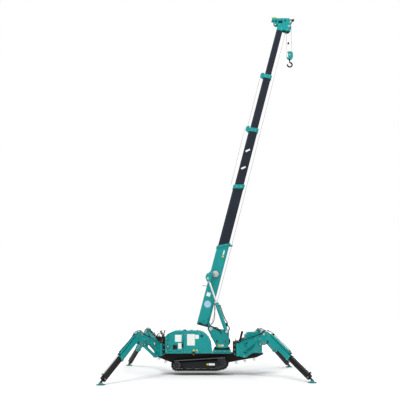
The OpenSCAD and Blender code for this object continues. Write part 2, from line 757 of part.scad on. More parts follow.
// Legs. Each is drawn along its own plan direction, r outwards from the swing pin
rear_pad = [-2279, 2268];
front_pad = [2279, 1836];
foot_z = 60;
function plan_len(p, f) = norm([f[0] - p[0], f[1] - p[1]]);
function plan_deg(p, f) = atan2(f[1] - p[1], f[0] - p[0]);
rear_deg = plan_deg(rear_pin, rear_pad);
front_deg = plan_deg(front_pin, front_pad);
rear_reach = plan_len(rear_pin, rear_pad) - arm_reach;
front_reach = plan_len(front_pin, front_pad) - arm_reach;
function leg_len(reach) = sqrt(reach * reach + (knee_z - foot_z) * (knee_z - foot_z));
function leg_deg(reach) = atan2(knee_z - foot_z, reach);
module leg_at(p, deg, side) {
  if (side > 0) translate([p[0], p[1], 0]) rotate([0, 0, deg]) children();
  else mirror([0, 1, 0]) translate([p[0], p[1], 0]) rotate([0, 0, deg]) children();
}
module shank_at(reach) {
  translate([arm_reach, 0, knee_z]) rotate([0, leg_deg(reach), 0]) children();
}
knee_d = 124;
arm_w = 64;
outer_w = 104;
outer_d = 124;
inner_w = 88;
inner_d = 104;
barrel_d = 56;
rod_d = 30;
rod_w = outer_d / 2 + barrel_d / 2 + 4;
// Barrel of the folding cylinder, below the arm: from its root to its rod end
fold_root = [232, 470];
fold_end = [722, 748];
fold_d = 76;
module leg_arm() {
  fold_run = fold_end - fold_root;
  fold_deg = atan2(fold_run[1], fold_run[0]);
  color(green) difference() {
    union() {
      cylinder_tube();
      slab(-arm_w / 2, arm_w / 2)
        polygon([[40, tube_lo + 2], [72, tube_lo + 2], [150, 520], [270, 614], [697, 884],
                 [arm_reach - 10, 950], [arm_reach + 40, 980], [arm_reach, 1066],
                 [arm_reach - 100, 1004], [385, 882], [98, 796], [74, tube_hi - 2], [40, tube_hi - 2]]);
      bar_y(arm_reach, knee_z, knee_d, -arm_w / 2, arm_w / 2);
      // Upper flange, wider than the web
      slab(-arm_w / 2 - 10, arm_w / 2 + 10)
        polygon([[84, 776], [98, 796], [385, 882], [arm_reach - 130, 994],
                 [arm_reach - 130, 976], [385, 862], [98, 774]]);
      // Root of the folding cylinder
      slab(-arm_w / 2, arm_w / 2)
        polygon([[45, tube_lo + 2], [72, tube_lo + 2], [200, 428], [262, 440], [262, 500], [190, 540], [45, 540]]);
      translate([fold_root[0], 0, fold_root[1]]) rotate([0, -fold_deg, 0]) {
        bar_u(20, norm(fold_run), fold_d, 0);
        bar_u(norm(fold_run) - 34, norm(fold_run) - 8, fold_d + 10, 0);
      }
      // Saddle that carries the barrel's rod end
      slab(-20, 20) polygon([[560, 660], [640, 700], [640, 850], [560, 800]]);
    }
    translate([0, 0, tube_lo - 1]) cylinder(d = swing_pin_d + 2 * pin_gap, h = 400);
    // The open triangle beside the root
    slab(-arm_w, arm_w) polygon([[196, 690], [284, 656], [346, 792], [330, 808], [196, 766]]);
    bar_y(arm_reach, knee_z, knee_pin_d + 2 * pin_gap, -arm_w, arm_w);
  }
  // Pin in the cylinder's root
  color(steel) bar_y(fold_root[0], fold_root[1], 30, -arm_w / 2 - 14, -arm_w / 2);
  color(steel) bar_y(fold_root[0], fold_root[1], 30, arm_w / 2, arm_w / 2 + 14);
}
module cylinder_tube() {
  translate([0, 0, tube_lo]) cylinder(d = tube_d, h = tube_hi - tube_lo);
}
module leg_outer(reach) {
  end = leg_len(reach) * 0.545;
  color(green) shank_at(reach) {
    difference() {
      union() {
        // Box, closed at the knee end
        translate([96, -outer_w / 2, -outer_d / 2]) cube([end - 96, outer_w, outer_d]);
        translate([end - 60, -outer_w / 2 - 8, -outer_d / 2 - 8]) cube([60, outer_w + 16, outer_d + 12]);
        for (s = [-1, 1])
          hull() {
            bar_y(0, 0, 100, min(s * 34, s * 56), max(s * 34, s * 56));
            translate([96, s > 0 ? 34 : -56, -outer_d / 2]) cube([60, 22, outer_d]);
          }
        // Crank plates below the knee, where the folding cylinder pushes
        for (s = [-1, 1])
          translate([0, s * 45 - 11, 0]) rotate([0, -leg_deg(reach), 0]) translate([0, 22, 0])
            rotate([90, 0, 0]) linear_extrude(22)
              polygon([[-46, -20], [-158, -228], [-128, -262], [-96, -262], [40, -222],
                       [70, -120], [46, 0]]);
        // Barrel of the leg cylinder on two saddles
        bar_u(130, end - 50, barrel_d, 0, rod_w);
        for (u = [150, end - 130])
          translate([u, -20, outer_d / 2 - 4]) cube([40, 40, 20]);
      }
      translate([130, -inner_w / 2 - 1, -inner_d / 2 - 1]) cube([end, inner_w + 2, inner_d + 2]);
      bar_u(160, end, rod_d + 0.4, 0, rod_w);
    }
    bar_y(0, 0, knee_pin_d, -68, 68);
    // Crank pin
    rotate([0, -leg_deg(reach), 0]) bar_y(-126, -236, 30, -66, 66);
  }
}
function inner_end(reach) = leg_len(reach) - 70;
module leg_inner(reach) {
  e = inner_end(reach);
  color(black) shank_at(reach) {
    translate([700, -inner_w / 2, -inner_d / 2]) cube([e - 700, inner_w, inner_d]);
    // Bracket for the rod
    translate([e - 70, -14, inner_d / 2]) cube([30, 28, rod_w + 18 - inner_d / 2]);
    bar_u(e, leg_len(reach) - 10, 40, 0);
    translate([leg_len(reach), 0, 0]) sphere(d = 48, $fn = 32);
  }
}
module leg_rod(reach) {
  color(steel) shank_at(reach) bar_u(770, inner_end(reach) - 70, rod_d, 0, rod_w);
}
module leg_pad(reach) {
  color(green) translate([arm_reach + reach, 0, 0]) difference() {
    union() {
      cylinder(r = pad_r, h = 12);
      cylinder(d1 = 120, d2 = 72, h = 52);
    }
    translate([0, 0, foot_z]) sphere(d = 48, $fn = 32);
  }
}
module front_leg(side) { leg_at(front_pin, front_deg, side) children(); }
module rear_leg(side) { leg_at(rear_pin, rear_deg, side) children(); }

place() track_belts();
place() track_frames();
place() track_wheels();
place() main_frame();
place() deck();
place() engine_cover();
place() service_door();
place() engine_block();
place() control_panel();
place() control_levers();
place() front_box();
place() boom_rest();
place() lashing_rings();
place() slew_ring();
place() column();
place() winch_drum();
place() boom_base();
place() boom_section_2();
place() boom_section_3();
place() boom_section_4();
place() boom_section_5();
place() boom_collar_2();
place() boom_collar_3();
place() boom_collar_4();
place() boom_head();
place() head_sheaves();
place() lift_cylinders();
place() lift_rods();
place() hoist_falls();
place() hook_block();
place() hook();
place() cord_reel();
place() front_leg(1) leg_arm();  // front_left_arm
place() front_leg(1) leg_outer(front_reach);  // front_left_outer
place() front_leg(1) leg_inner(front_reach);  // front_left_inner
place() front_leg(1) leg_rod(front_reach);  // front_left_rod
place() front_leg(1) leg_pad(front_reach);  // front_left_pad
place() front_leg(-1) leg_arm();  // front_right_arm
place() front_leg(-1) leg_outer(front_reach);  // front_right_outer
place() front_leg(-1) leg_inner(front_reach);  // front_right_inner
place() front_leg(-1) leg_rod(front_reach);  // front_right_rod
place() front_leg(-1) leg_pad(front_reach);  // front_right_pad
place() rear_leg(1) leg_arm();  // rear_left_arm
place() rear_leg(1) leg_outer(rear_reach);  // rear_left_outer
place() rear_leg(1) leg_inner(rear_reach);  // rear_left_inner
place() rear_leg(1) leg_rod(rear_reach);  // rear_left_rod
place() rear_leg(1) leg_pad(rear_reach);  // rear_left_pad
place() rear_leg(-1) leg_arm();  // rear_right_arm
place() rear_leg(-1) leg_outer(rear_reach);  // rear_right_outer
place() rear_leg(-1) leg_inner(rear_reach);  // rear_right_inner
place() rear_leg(-1) leg_rod(rear_reach);  // rear_right_rod
place() rear_leg(-1) leg_pad(rear_reach);  // rear_right_pad
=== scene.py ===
"""Looks for the spider crane: finishes for every solid, the ropes and hoses that
run along it, and the bolts, plates, lamps and small fittings on its skin."""
import math
import bpy
import bmesh
from mathutils import Matrix, Vector


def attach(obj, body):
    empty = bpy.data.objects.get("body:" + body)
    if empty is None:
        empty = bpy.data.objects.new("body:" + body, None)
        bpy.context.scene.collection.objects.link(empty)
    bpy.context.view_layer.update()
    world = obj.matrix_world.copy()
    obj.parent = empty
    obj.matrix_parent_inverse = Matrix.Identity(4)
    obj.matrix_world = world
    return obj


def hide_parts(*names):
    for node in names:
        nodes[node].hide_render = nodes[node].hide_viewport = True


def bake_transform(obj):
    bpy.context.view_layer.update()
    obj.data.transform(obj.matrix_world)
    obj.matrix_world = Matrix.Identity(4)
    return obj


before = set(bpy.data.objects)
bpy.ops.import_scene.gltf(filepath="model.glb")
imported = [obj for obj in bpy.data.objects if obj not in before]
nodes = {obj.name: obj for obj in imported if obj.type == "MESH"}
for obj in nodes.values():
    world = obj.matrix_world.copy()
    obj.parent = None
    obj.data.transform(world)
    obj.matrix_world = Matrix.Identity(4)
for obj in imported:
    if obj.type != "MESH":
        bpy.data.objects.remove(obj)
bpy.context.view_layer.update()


# Camera, floor, light

def set_camera():
    """The place and angle that the photograph was taken from."""
    focal_pixels, picture_pixels, sensor_mm = 576.8, 400, 36
    cam_data = bpy.data.cameras.new("camera")
    cam_data.lens = focal_pixels / picture_pixels * sensor_mm
    cam_data.sensor_width = sensor_mm
    cam_data.clip_end = 200
    cam = bpy.data.objects.new("camera", cam_data)
    bpy.context.collection.objects.link(cam)
    yaw, rise = -0.0128, 0.1916
    look = Vector((math.sin(yaw) * math.cos(rise), math.cos(yaw) * math.cos(rise),
                   math.sin(rise)))
    cam.location = (-0.045, -15.006, 1.525)
    cam.rotation_euler = look.to_track_quat("-Z", "Y").to_euler()
    bpy.context.scene.camera = cam
    bpy.context.scene.view_settings.view_transform = "Standard"


def floor_paint():
    """A pale floor that keeps the object's soft shadow and whitens far away."""
    fade_from, fade_to, far_glow = 3.5, 14.0, 0.55
    mat = bpy.data.materials.new("floor_white")
    mat.use_nodes = True
    matt = mat.node_tree.nodes["Principled BSDF"]
    matt.inputs["Base Color"].default_value = (0.93, 0.93, 0.93, 1)
    matt.inputs["Roughness"].default_value = 0.9
    matt.inputs["Specular IOR Level"].default_value = 0.1
    tree = mat.node_tree
    coords = tree.nodes.new("ShaderNodeTexCoord")
    away = tree.nodes.new("ShaderNodeVectorMath")
    away.operation = "LENGTH"
    tree.links.new(coords.outputs["Object"], away.inputs[0])
    rise = tree.nodes.new("ShaderNodeMapRange")
    rise.inputs["From Min"].default_value = fade_from
    rise.inputs["From Max"].default_value = fade_to
    rise.inputs["To Max"].default_value = far_glow
    tree.links.new(away.outputs["Value"], rise.inputs["Value"])
    ray = tree.nodes.new("ShaderNodeLightPath")
    seen = tree.nodes.new("ShaderNodeMath")
    seen.operation = "MULTIPLY"
    tree.links.new(rise.outputs["Result"], seen.inputs[0])
    tree.links.new(ray.outputs["Is Camera Ray"], seen.inputs[1])
    matt.inputs["Emission Color"].default_value = (1, 1, 1, 1)
    tree.links.new(seen.outputs[0], matt.inputs["Emission Strength"])
    return mat


def sky_light():
    """Even light from all round; the camera, mirrors and glass see it as white."""
    even_strength, seen_strength = 0.62, 1.0
    world = bpy.data.worlds.new("studio")
    bpy.context.scene.world = world
    world.use_nodes = True
    tree = world.node_tree
    even = tree.nodes["Background"]
    even.inputs["Color"].default_value = (1, 1, 1, 1)
    even.inputs["Strength"].default_value = even_strength
    white = tree.nodes.new("ShaderNodeBackground")
    white.inputs["Color"].default_value = (1, 1, 1, 1)
    white.inputs["Strength"].default_value = seen_strength
    ray = tree.nodes.new("ShaderNodeLightPath")
    seen = None
    for kind in ("Is Camera Ray", "Is Glossy Ray", "Is Transmission Ray"):
        if seen is None:
            seen = ray.outputs[kind]
            continue
        either = tree.nodes.new("ShaderNodeMath")
        either.operation = "MAXIMUM"
        tree.links.new(seen, either.inputs[0])
        tree.links.new(ray.outputs[kind], either.inputs[1])
        seen = either.outputs[0]
    mix = tree.nodes.new("ShaderNodeMixShader")
    tree.links.new(seen, mix.inputs[0])
    tree.links.new(even.outputs[0], mix.inputs[1])
    tree.links.new(white.outputs[0], mix.inputs[2])
    tree.links.new(mix.outputs[0], tree.nodes["World Output"].inputs[0])


# Name, place, what it faces, size in metres and power in watts
lamps = [
    ("key_lamp", (-6, -9, 19), (0, 0, 3), 9, 2300),
    ("fill_lamp", (11, -13, 9), (0, 0, 3), 9, 550),
    ("back_lamp", (4, 14, 14), (0, 0, 4), 9, 600),
]


def build_studio():
    """A wide pale floor, soft lamps from both sides and behind, and even light."""
    bm = bmesh.new()
    floor_half = 60
    bmesh.ops.create_grid(bm, x_segments=1, y_segments=1, size=floor_half)
    mesh = bpy.data.meshes.new("floor")
    bm.to_mesh(mesh)
    bm.free()
    floor = bpy.data.objects.new("floor", mesh)
    bpy.context.collection.objects.link(floor)
    mesh.materials.append(floor_paint())
    sky_light()
    for name, place, aim, size, power in lamps:
        lamp = bpy.data.lights.new(name, "AREA")
        lamp.size = size
        lamp.energy = power
        obj = bpy.data.objects.new(name, lamp)
        obj.location = place
        facing = Vector(aim) - Vector(place)
        obj.rotation_euler = facing.to_track_quat("-Z", "Y").to_euler()
        bpy.context.collection.objects.link(obj)


# Finishes

def finish(name, colour, rough, metal=0.0, tint=0.06, grain=14.0, bump=0.02,
           dust=0.0, dust_top=0.5, coat=0.0, shine=0.3):
    """A painted, cast or moulded surface: slightly uneven colour and gloss, a fine
    orange-peel bump, and dust that thins out with height."""
    mat = bpy.data.materials.new(name)
    mat.use_nodes = True
    tree = mat.node_tree
    shader = tree.nodes["Principled BSDF"]
    coords = tree.nodes.new("ShaderNodeTexCoord")
    broad = tree.nodes.new("ShaderNodeTexNoise")
    broad.inputs["Scale"].default_value = 2.3
    broad.inputs["Detail"].default_value = 6
    fine = tree.nodes.new("ShaderNodeTexNoise")
    fine.inputs["Scale"].default_value = grain
    fine.inputs["Detail"].default_value = 4
    for tex in (broad, fine):
        tree.links.new(coords.outputs["Object"], tex.inputs["Vector"])
    ramp = tree.nodes.new("ShaderNodeValToRGB")
    low = [max(0.0, c * (1 - tint * 2)) for c in colour]
    high = [min(1.0, c * (1 + tint)) for c in colour]
    ramp.color_ramp.elements[0].position = 0.3
    ramp.color_ramp.elements[0].color = (*low, 1)
    ramp.color_ramp.elements[1].position = 0.7
    ramp.color_ramp.elements[1].color = (*high, 1)
    tree.links.new(broad.outputs["Fac"], ramp.inputs["Fac"])
    colour_out = ramp.outputs["Color"]
    if dust:
        split = tree.nodes.new("ShaderNodeSeparateXYZ")
        tree.links.new(coords.outputs["Object"], split.inputs[0])
        fall = tree.nodes.new("ShaderNodeMapRange")
        fall.inputs["From Min"].default_value = 0.0
        fall.inputs["From Max"].default_value = dust_top
        fall.inputs["To Min"].default_value = dust
        fall.inputs["To Max"].default_value = 0.0
        tree.links.new(split.outputs["Z"], fall.inputs["Value"])
        patch = tree.nodes.new("ShaderNodeMath")
        patch.operation = "MULTIPLY"
        tree.links.new(fall.outputs["Result"], patch.inputs[0])
        tree.links.new(fine.outputs["Fac"], patch.inputs[1])
        mix = tree.nodes.new("ShaderNodeMixRGB")
        mix.inputs["Color2"].default_value = (0.32, 0.29, 0.25, 1)
        tree.links.new(patch.outputs[0], mix.inputs["Fac"])
        tree.links.new(colour_out, mix.inputs["Color1"])
        colour_out = mix.outputs["Color"]
    tree.links.new(colour_out, shader.inputs["Base Color"])
    gloss = tree.nodes.new("ShaderNodeMapRange")
    gloss.inputs["To Min"].default_value = max(0.03, rough - 0.08)
    gloss.inputs["To Max"].default_value = min(1.0, rough + 0.10)
    tree.links.new(fine.outputs["Fac"], gloss.inputs["Value"])
    tree.links.new(gloss.outputs["Result"], shader.inputs["Roughness"])
    shader.inputs["Specular IOR Level"].default_value = shine
    shader.inputs["Metallic"].default_value = metal
    shader.inputs["Coat Weight"].default_value = coat
    shader.inputs["Coat Roughness"].default_value = 0.08
    relief = tree.nodes.new("ShaderNodeBump")
    relief.inputs["Strength"].default_value = bump
    relief.inputs["Distance"].default_value = 0.01
    tree.links.new(fine.outputs["Fac"], relief.inputs["Height"])
    tree.links.new(relief.outputs["Normal"], shader.inputs["Normal"])
    return mat


green = finish("green_paint", (0.004, 0.275, 0.268), 0.36, tint=0.05, bump=0.03, coat=0.2,
               dust=0.1, dust_top=0.4, shine=0.15)
boom_dark = finish("boom_paint", (0.011, 0.016, 0.026), 0.38, tint=0.12, bump=0.03, coat=0.1,
                   shine=0.15)
dark = finish("dark_paint", (0.012, 0.014, 0.016), 0.5, tint=0.15, bump=0.05, dust=0.06,
              shine=0.12)
black = finish("black_paint", (0.006, 0.006, 0.007), 0.45, tint=0.15, bump=0.04, dust=0.06,
               dust_top=0.5, coat=0.08, shine=0.1)
rubber = finish("track_rubber", (0.008, 0.008, 0.008), 0.8, tint=0.2, grain=60, bump=0.25,
                dust=0.1, dust_top=0.3, shine=0.1)
cast = finish("worn_steel", (0.05, 0.05, 0.052), 0.55, metal=0.6, tint=0.2, grain=40, bump=0.1)
grey_iron = finish("engine_iron", (0.12, 0.12, 0.125), 0.6, metal=0.3, tint=0.2, grain=30,
                   bump=0.1)
knob_black = finish("lever_plastic", (0.012, 0.012, 0.012), 0.35, tint=0.1, grain=80, bump=0.05)
padding = finish("rest_padding", (0.012, 0.012, 0.013), 0.7, tint=0.2, grain=90, bump=0.3)
zinc = finish("zinc_steel", (0.50, 0.51, 0.52), 0.38, metal=1.0, tint=0.1, grain=50, bump=0.05)
chrome = finish("hard_chrome", (0.60, 0.61, 0.63), 0.22, metal=1.0, tint=0.03, grain=30,
                bump=0.01)
reel_grey = finish("reel_grey", (0.42, 0.44, 0.43), 0.35, tint=0.08, bump=0.03, coat=0.2)
rope_steel = finish("rope_steel", (0.34, 0.34, 0.35), 0.45, metal=0.8, tint=0.2, grain=220,
                    bump=0.4)

node_finish = {
    "track_belts": rubber, "track_frames": dark, "track_wheels": cast, "main_frame": black,
    "engine_block": grey_iron, "control_panel": dark, "control_levers": knob_black,
    "boom_rest": padding, "lashing_rings": zinc, "slew_ring": dark, "winch_drum": dark,
    "boom_section_2": boom_dark, "boom_section_3": boom_dark, "boom_section_4": boom_dark,
    "boom_section_5": boom_dark, "head_sheaves": cast, "lift_rods": chrome,
    "hoist_falls": rope_steel, "hook": black, "cord_reel": reel_grey,
}


def dress_solids():
    """Every solid gets its finish; what isn't in the table is green."""
    for name, obj in nodes.items():
        if name.endswith("_inner"):
            mat = black
        elif name.endswith("_rod"):
            mat = chrome
        else:
            mat = node_finish.get(name, green)
        for entry in obj.material_slots:
            entry.material = mat


white_plate = finish("plate_white", (0.80, 0.82, 0.80), 0.45, tint=0.03, grain=40, bump=0.01)
yellow_plate = finish("plate_yellow", (0.80, 0.58, 0.03), 0.45, tint=0.05, grain=40, bump=0.01)
pale_blue = finish("plate_pale_blue", (0.36, 0.55, 0.70), 0.45, tint=0.05, grain=40, bump=0.01)
red_lens = finish("red_reflector", (0.62, 0.02, 0.05), 0.15, tint=0.1, grain=300, bump=0.1,
                  coat=0.6)
lamp_lens = finish("lamp_lens", (0.55, 0.62, 0.10), 0.2, tint=0.1, grain=200, bump=0.1,
                   coat=0.5)
hose_black = finish("hose_rubber", (0.012, 0.012, 0.013), 0.6, tint=0.2, grain=160, bump=0.2)
brass_tan = finish("cap_tan", (0.30, 0.13, 0.04), 0.5, tint=0.15, grain=60, bump=0.05)


# Places that several pieces share, in metres

cover_face = 0.360
frame_face = 0.331
column_face = 0.142
box_face = 0.225
pivot_x, pivot_z = 0.034, 1.110
cylinder_x, cylinder_z = 0.431, 1.043
drum_x, drum_z = 0.402, 0.800
sheave_x, sheave_z = 2.250, 9.350
block_z = 8.520

# The boom's own frame: u along the boom, y across, v up its back
boom_raise = math.radians(75)
boom_frame = Matrix.Translation((pivot_x, 0, pivot_z)) @ Matrix.Rotation(-boom_raise, 4, "Y")
boom_axis = 0.220


# Making pieces


def done(name, bm, body, mat, turn=None):
    """Ends a mesh: turned into place, faces outwards, riding on its body if one is named."""
    sharp_from = math.radians(30)
    if turn is not None:
        bmesh.ops.transform(bm, matrix=turn, verts=bm.verts)
    bmesh.ops.remove_doubles(bm, verts=bm.verts, dist=0.00002)
    bmesh.ops.recalc_face_normals(bm, faces=bm.faces)
    mesh = bpy.data.meshes.new(name)
    for face in bm.faces:
        face.smooth = True
    for edge in bm.edges:
        if len(edge.link_faces) == 2 and edge.calc_face_angle(0) > sharp_from:
            edge.smooth = False
    bm.to_mesh(mesh)
    bm.free()
    mesh.materials.append(mat)
    obj = bpy.data.objects.new(name, mesh)
    bpy.context.collection.objects.link(obj)
    if body:
        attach(obj, body)
    return obj


def upright(way):
    """The turn that brings z into a direction, as a 4 by 4 matrix."""
    return way.to_track_quat("Z", "Y").to_matrix().to_4x4()


def add_block(bm, lo, hi, soft=0.002, turn=None):
    """A block between two corners with softened edges."""
    lo, hi = Vector(lo), Vector(hi)
    made = bmesh.ops.create_cube(bm, size=1)["verts"]
    bmesh.ops.scale(bm, vec=hi - lo, verts=made)
    bmesh.ops.translate(bm, vec=(lo + hi) / 2, verts=made)
    if soft:
        edges = list({e for v in made for e in v.link_edges})
        made = bmesh.ops.bevel(bm, geom=edges, offset=soft, offset_type="OFFSET", segments=2,
                               affect="EDGES", profile=0.5, material=-1)["verts"]
    if turn is not None:
        bmesh.ops.transform(bm, matrix=turn, verts=made)


def side_block(bm, side, x, y, z, soft=0.002, turn=None):
    """A block on the near (-1) or far (+1) side; x, y and z are pairs of limits."""
    low_y, high_y = sorted((side * y[0], side * y[1]))
    add_block(bm, (x[0], low_y, z[0]), (x[1], high_y, z[1]), soft, turn)


def add_rod(bm, a, b, radius, sides=20, turn=None):
    """A round bar between two points."""
    a, b = Vector(a), Vector(b)
    place = Matrix.Translation((a + b) / 2) @ upright(b - a)
    if turn is not None:
        place = turn @ place
    bmesh.ops.create_cone(bm, cap_ends=True, segments=sides, radius1=radius, radius2=radius,
                          depth=(b - a).length, matrix=place)


def add_hex(bm, at, axis, across=0.019, tall=0.008):
    """A hexagon bolt head that stands on a surface, over its round washer."""
    at, axis = Vector(at), Vector(axis).normalized()
    washer = 0.002
    corner = across / 1.732
    add_rod(bm, at, at + axis * washer, across * 0.62, 20)
    add_rod(bm, at + axis * washer, at + axis * (washer + tall), corner, 6)


def smooth_way(points):
    """Points along a smooth curve through the given ones, six to each stretch."""
    steps = 6
    points = [Vector(p) for p in points]
    fine = []
    for i in range(len(points) - 1):
        p0 = points[max(i - 1, 0)]
        p1, p2 = points[i], points[i + 1]
        p3 = points[min(i + 2, len(points) - 1)]
        for k in range(steps):
            t = k / steps
            fine.append(0.5 * ((2 * p1) + (p2 - p0) * t + (2 * p0 - 5 * p1 + 4 * p2 - p3) * t * t
                               + (3 * p1 - p0 - 3 * p2 + p3) * t ** 3))
    fine.append(points[-1])
    return fine


def add_hose(bm, points, radius):
    """A hose swept through points by extruding one ring along them."""
    fine = smooth_way(points)
    way = (fine[1] - fine[0]).normalized()
    ring = bmesh.ops.create_circle(bm, segments=10, radius=radius, cap_ends=True,
                                   matrix=Matrix.Translation(fine[0]) @ upright(way))
    verts = ring["verts"]
    edges = list({e for v in verts for e in v.link_edges
                  if e.other_vert(v) in verts})
    for i in range(1, len(fine)):
        ahead = fine[min(i + 1, len(fine) - 1)] - fine[i - 1]
        ahead.normalize()
        grown = bmesh.ops.extrude_edge_only(bm, edges=edges)["geom"]
        verts = [g for g in grown if isinstance(g, bmesh.types.BMVert)]
        edges = [g for g in grown if isinstance(g, bmesh.types.BMEdge)]
        bmesh.ops.translate(bm, vec=fine[i] - fine[i - 1], verts=verts)
        spin = way.rotation_difference(ahead).to_matrix()
        bmesh.ops.rotate(bm, cent=fine[i], matrix=spin, verts=verts)
        way = ahead
    bmesh.ops.edgeloop_fill(bm, edges=edges)


def add_ring(bm, centre, axis, major, minor, turns=32, sides=10):
    """A round wire ring about an axis, made by a full spin of its section."""
    centre, axis = Vector(centre), Vector(axis).normalized()
    out = axis.orthogonal().normalized()
    section = Matrix.Translation(centre + out * major) @ upright(axis.cross(out))
    made = bmesh.ops.create_circle(bm, segments=sides, radius=minor, matrix=section)
    edges = list({e for v in made["verts"] for e in v.link_edges})
    bmesh.ops.spin(bm, geom=made["verts"] + edges, cent=centre, axis=axis,
                   angle=math.radians(360), steps=turns, use_merge=True)


def add_bolt_circle(bm, centre, axis, radius, count, across=0.016, tall=0.007, phase=0.0):
    """Bolt heads evenly spaced round an axis."""
    centre, axis = Vector(centre), Vector(axis).normalized()
    out = axis.orthogonal().normalized() * radius
    for k in range(count):
        turn = Matrix.Rotation(math.radians(phase + 360 * k / count), 3, axis)
        add_hex(bm, centre + turn @ out, axis, across, tall)


def add_cap(bm, at, axis, radius, tall=0.008):
    """A pin's end cap: a disc with a bevelled face, and a bolt in its middle."""
    at, axis = Vector(at), Vector(axis).normalized()
    top = tall + 0.003
    add_rod(bm, at, at + axis * tall, radius, 32)
    add_rod(bm, at + axis * tall, at + axis * top, radius * 0.8, 32)
    add_hex(bm, at + axis * top, axis, 0.020, 0.007)


# Plates and stickers

def add_plate(name, body, mat, lo, hi, turn=None, round_off=0.006):
    """A thin blank plate that lies against a surface; thin along its shortest side."""
    bm = bmesh.new()
    add_block(bm, lo, hi, 0)
    lo, hi = Vector(lo), Vector(hi)
    size = hi - lo
    thin = min(range(3), key=lambda i: size[i])
    corners = [e for e in bm.edges
               if abs((e.verts[0].co - e.verts[1].co)[thin]) > size[thin] * 0.5]
    bmesh.ops.bevel(bm, geom=corners, offset=round_off, offset_type="OFFSET", segments=4,
                    affect="EDGES", profile=0.5, material=-1)
    return done(name, bm, body, mat, turn)


def add_oval(bm, x, z, y, side, wide, high, thick):
    """A flat oval boss on a side face."""
    face = (Matrix.Translation((x, y + side * thick / 2, z))
            @ Matrix.Diagonal((wide / 2, 1, high / 2, 1))
            @ Matrix.Rotation(math.radians(90), 4, "X"))
    bmesh.ops.create_cone(bm, cap_ends=True, segments=40, radius1=1, radius2=1, depth=thick,
                          matrix=face)


def side_plate(name, body, mat, side, y, x0, x1, z0, z1, thick=0.002, round_off=0.006):
    """A blank plate on the near or far face at distance y from the middle."""
    lo = min(side * y, side * (y + thick))
    return add_plate(name, body, mat, (x0, lo, z0), (x1, lo + thick, z1), round_off=round_off)


def cover_fittings():
    """Blank plates, latch, dots, bolts and eyes on the engine cover."""
    side_plate("cover_plate", "chassis", white_plate, -1, cover_face, -0.552, -0.360, 0.712, 0.985)
    side_plate("cover_note", "chassis", white_plate, -1, cover_face, -0.352, -0.262, 0.872, 0.968)
    side_plate("cover_note_far", "chassis", white_plate, 1, cover_face, -0.800, -0.640,
               0.800, 0.920)
    for side, tag in ((-1, "near"), (1, "far")):
        y, out = side * cover_face, (0, side, 0)
        bm = bmesh.new()
        side_block(bm, side, (-0.218, -0.160), (cover_face, cover_face + 0.014),
                   (0.920, 0.962), 0.004)
        add_rod(bm, (-0.189, y, 0.941), (-0.189, y + 0.022 * side, 0.941), 0.009, 20)
        done("cover_latch_" + tag, bm, "chassis", knob_black)
        bm = bmesh.new()
        for x in (-0.388, -0.309):
            add_rod(bm, (x, y, 0.597), (x, y + 0.003 * side, 0.597), 0.022, 24)
        done("cover_dots_" + tag, bm, "chassis", yellow_plate)
        bm = bmesh.new()
        for x in (-0.60, -0.50, -0.30, -0.10, 0.03):
            add_hex(bm, (x, y, 0.552), out, 0.014, 0.006)
        for x, z in ((-0.60, 0.98), (-0.25, 1.01), (-0.02, 0.86), (0.045, 0.70)):
            add_hex(bm, (x, y, z), out, 0.014, 0.006)
        done("cover_bolts_" + tag, bm, "chassis", zinc)
        # Lashing eye under the cover's lower edge, with its tan cap
        bm = bmesh.new()
        add_rod(bm, (-0.388, side * 0.366, 0.545), (-0.388, side * 0.374, 0.545), 0.022, 24)
        side_block(bm, side, (-0.418, -0.358), (0.368, 0.374), (0.521, 0.545))
        done("cover_eye_" + tag, bm, "chassis", dark)
        bm = bmesh.new()
        add_rod(bm, (-0.388, side * 0.340, 0.500), (-0.388, side * 0.366, 0.500), 0.020, 24)
        done("drain_cap_" + tag, bm, "chassis", brass_tan)
    # Lifting eyes, filler cap and rain cap on the roof
    bm = bmesh.new()
    for x, y in ((-0.75, 0.22), (-0.75, -0.22), (-0.30, 0.22), (-0.30, -0.22)):
        add_rod(bm, (x, y, 1.063), (x, y, 1.069), 0.020, 24)
        add_ring(bm, (x, y, 1.084), (1, 0, 0), 0.016, 0.004, 24, 8)
    done("roof_eyes", bm, "chassis", zinc)
    bm = bmesh.new()
    add_rod(bm, (-0.62, -0.10, 1.063), (-0.62, -0.10, 1.078), 0.045, 40)
    add_rod(bm, (-0.62, -0.10, 1.078), (-0.62, -0.10, 1.090), 0.036, 12)
    done("filler_cap", bm, "chassis", knob_black)
    bm = bmesh.new()
    tilt = Matrix.Translation((-0.456, 0.180, 1.092)) @ Matrix.Rotation(math.radians(20), 4, "Y")
    add_rod(bm, (0, 0, 0), (0, 0, 0.004), 0.042, 32, tilt)
    done("rain_cap", bm, "chassis", zinc)
    # Louvre blades over the vents of the far side
    bm = bmesh.new()
    for k in range(8):
        z = 0.660 + k * 0.036
        lean = Matrix.Rotation(math.radians(-35), 4, "X")
        add_block(bm, (-0.155, -0.001, -0.012), (0.155, 0.001, 0.012), 0,
                  Matrix.Translation((-0.346, 0.362, z)) @ lean)
    done("vent_louvres", bm, "chassis", green)


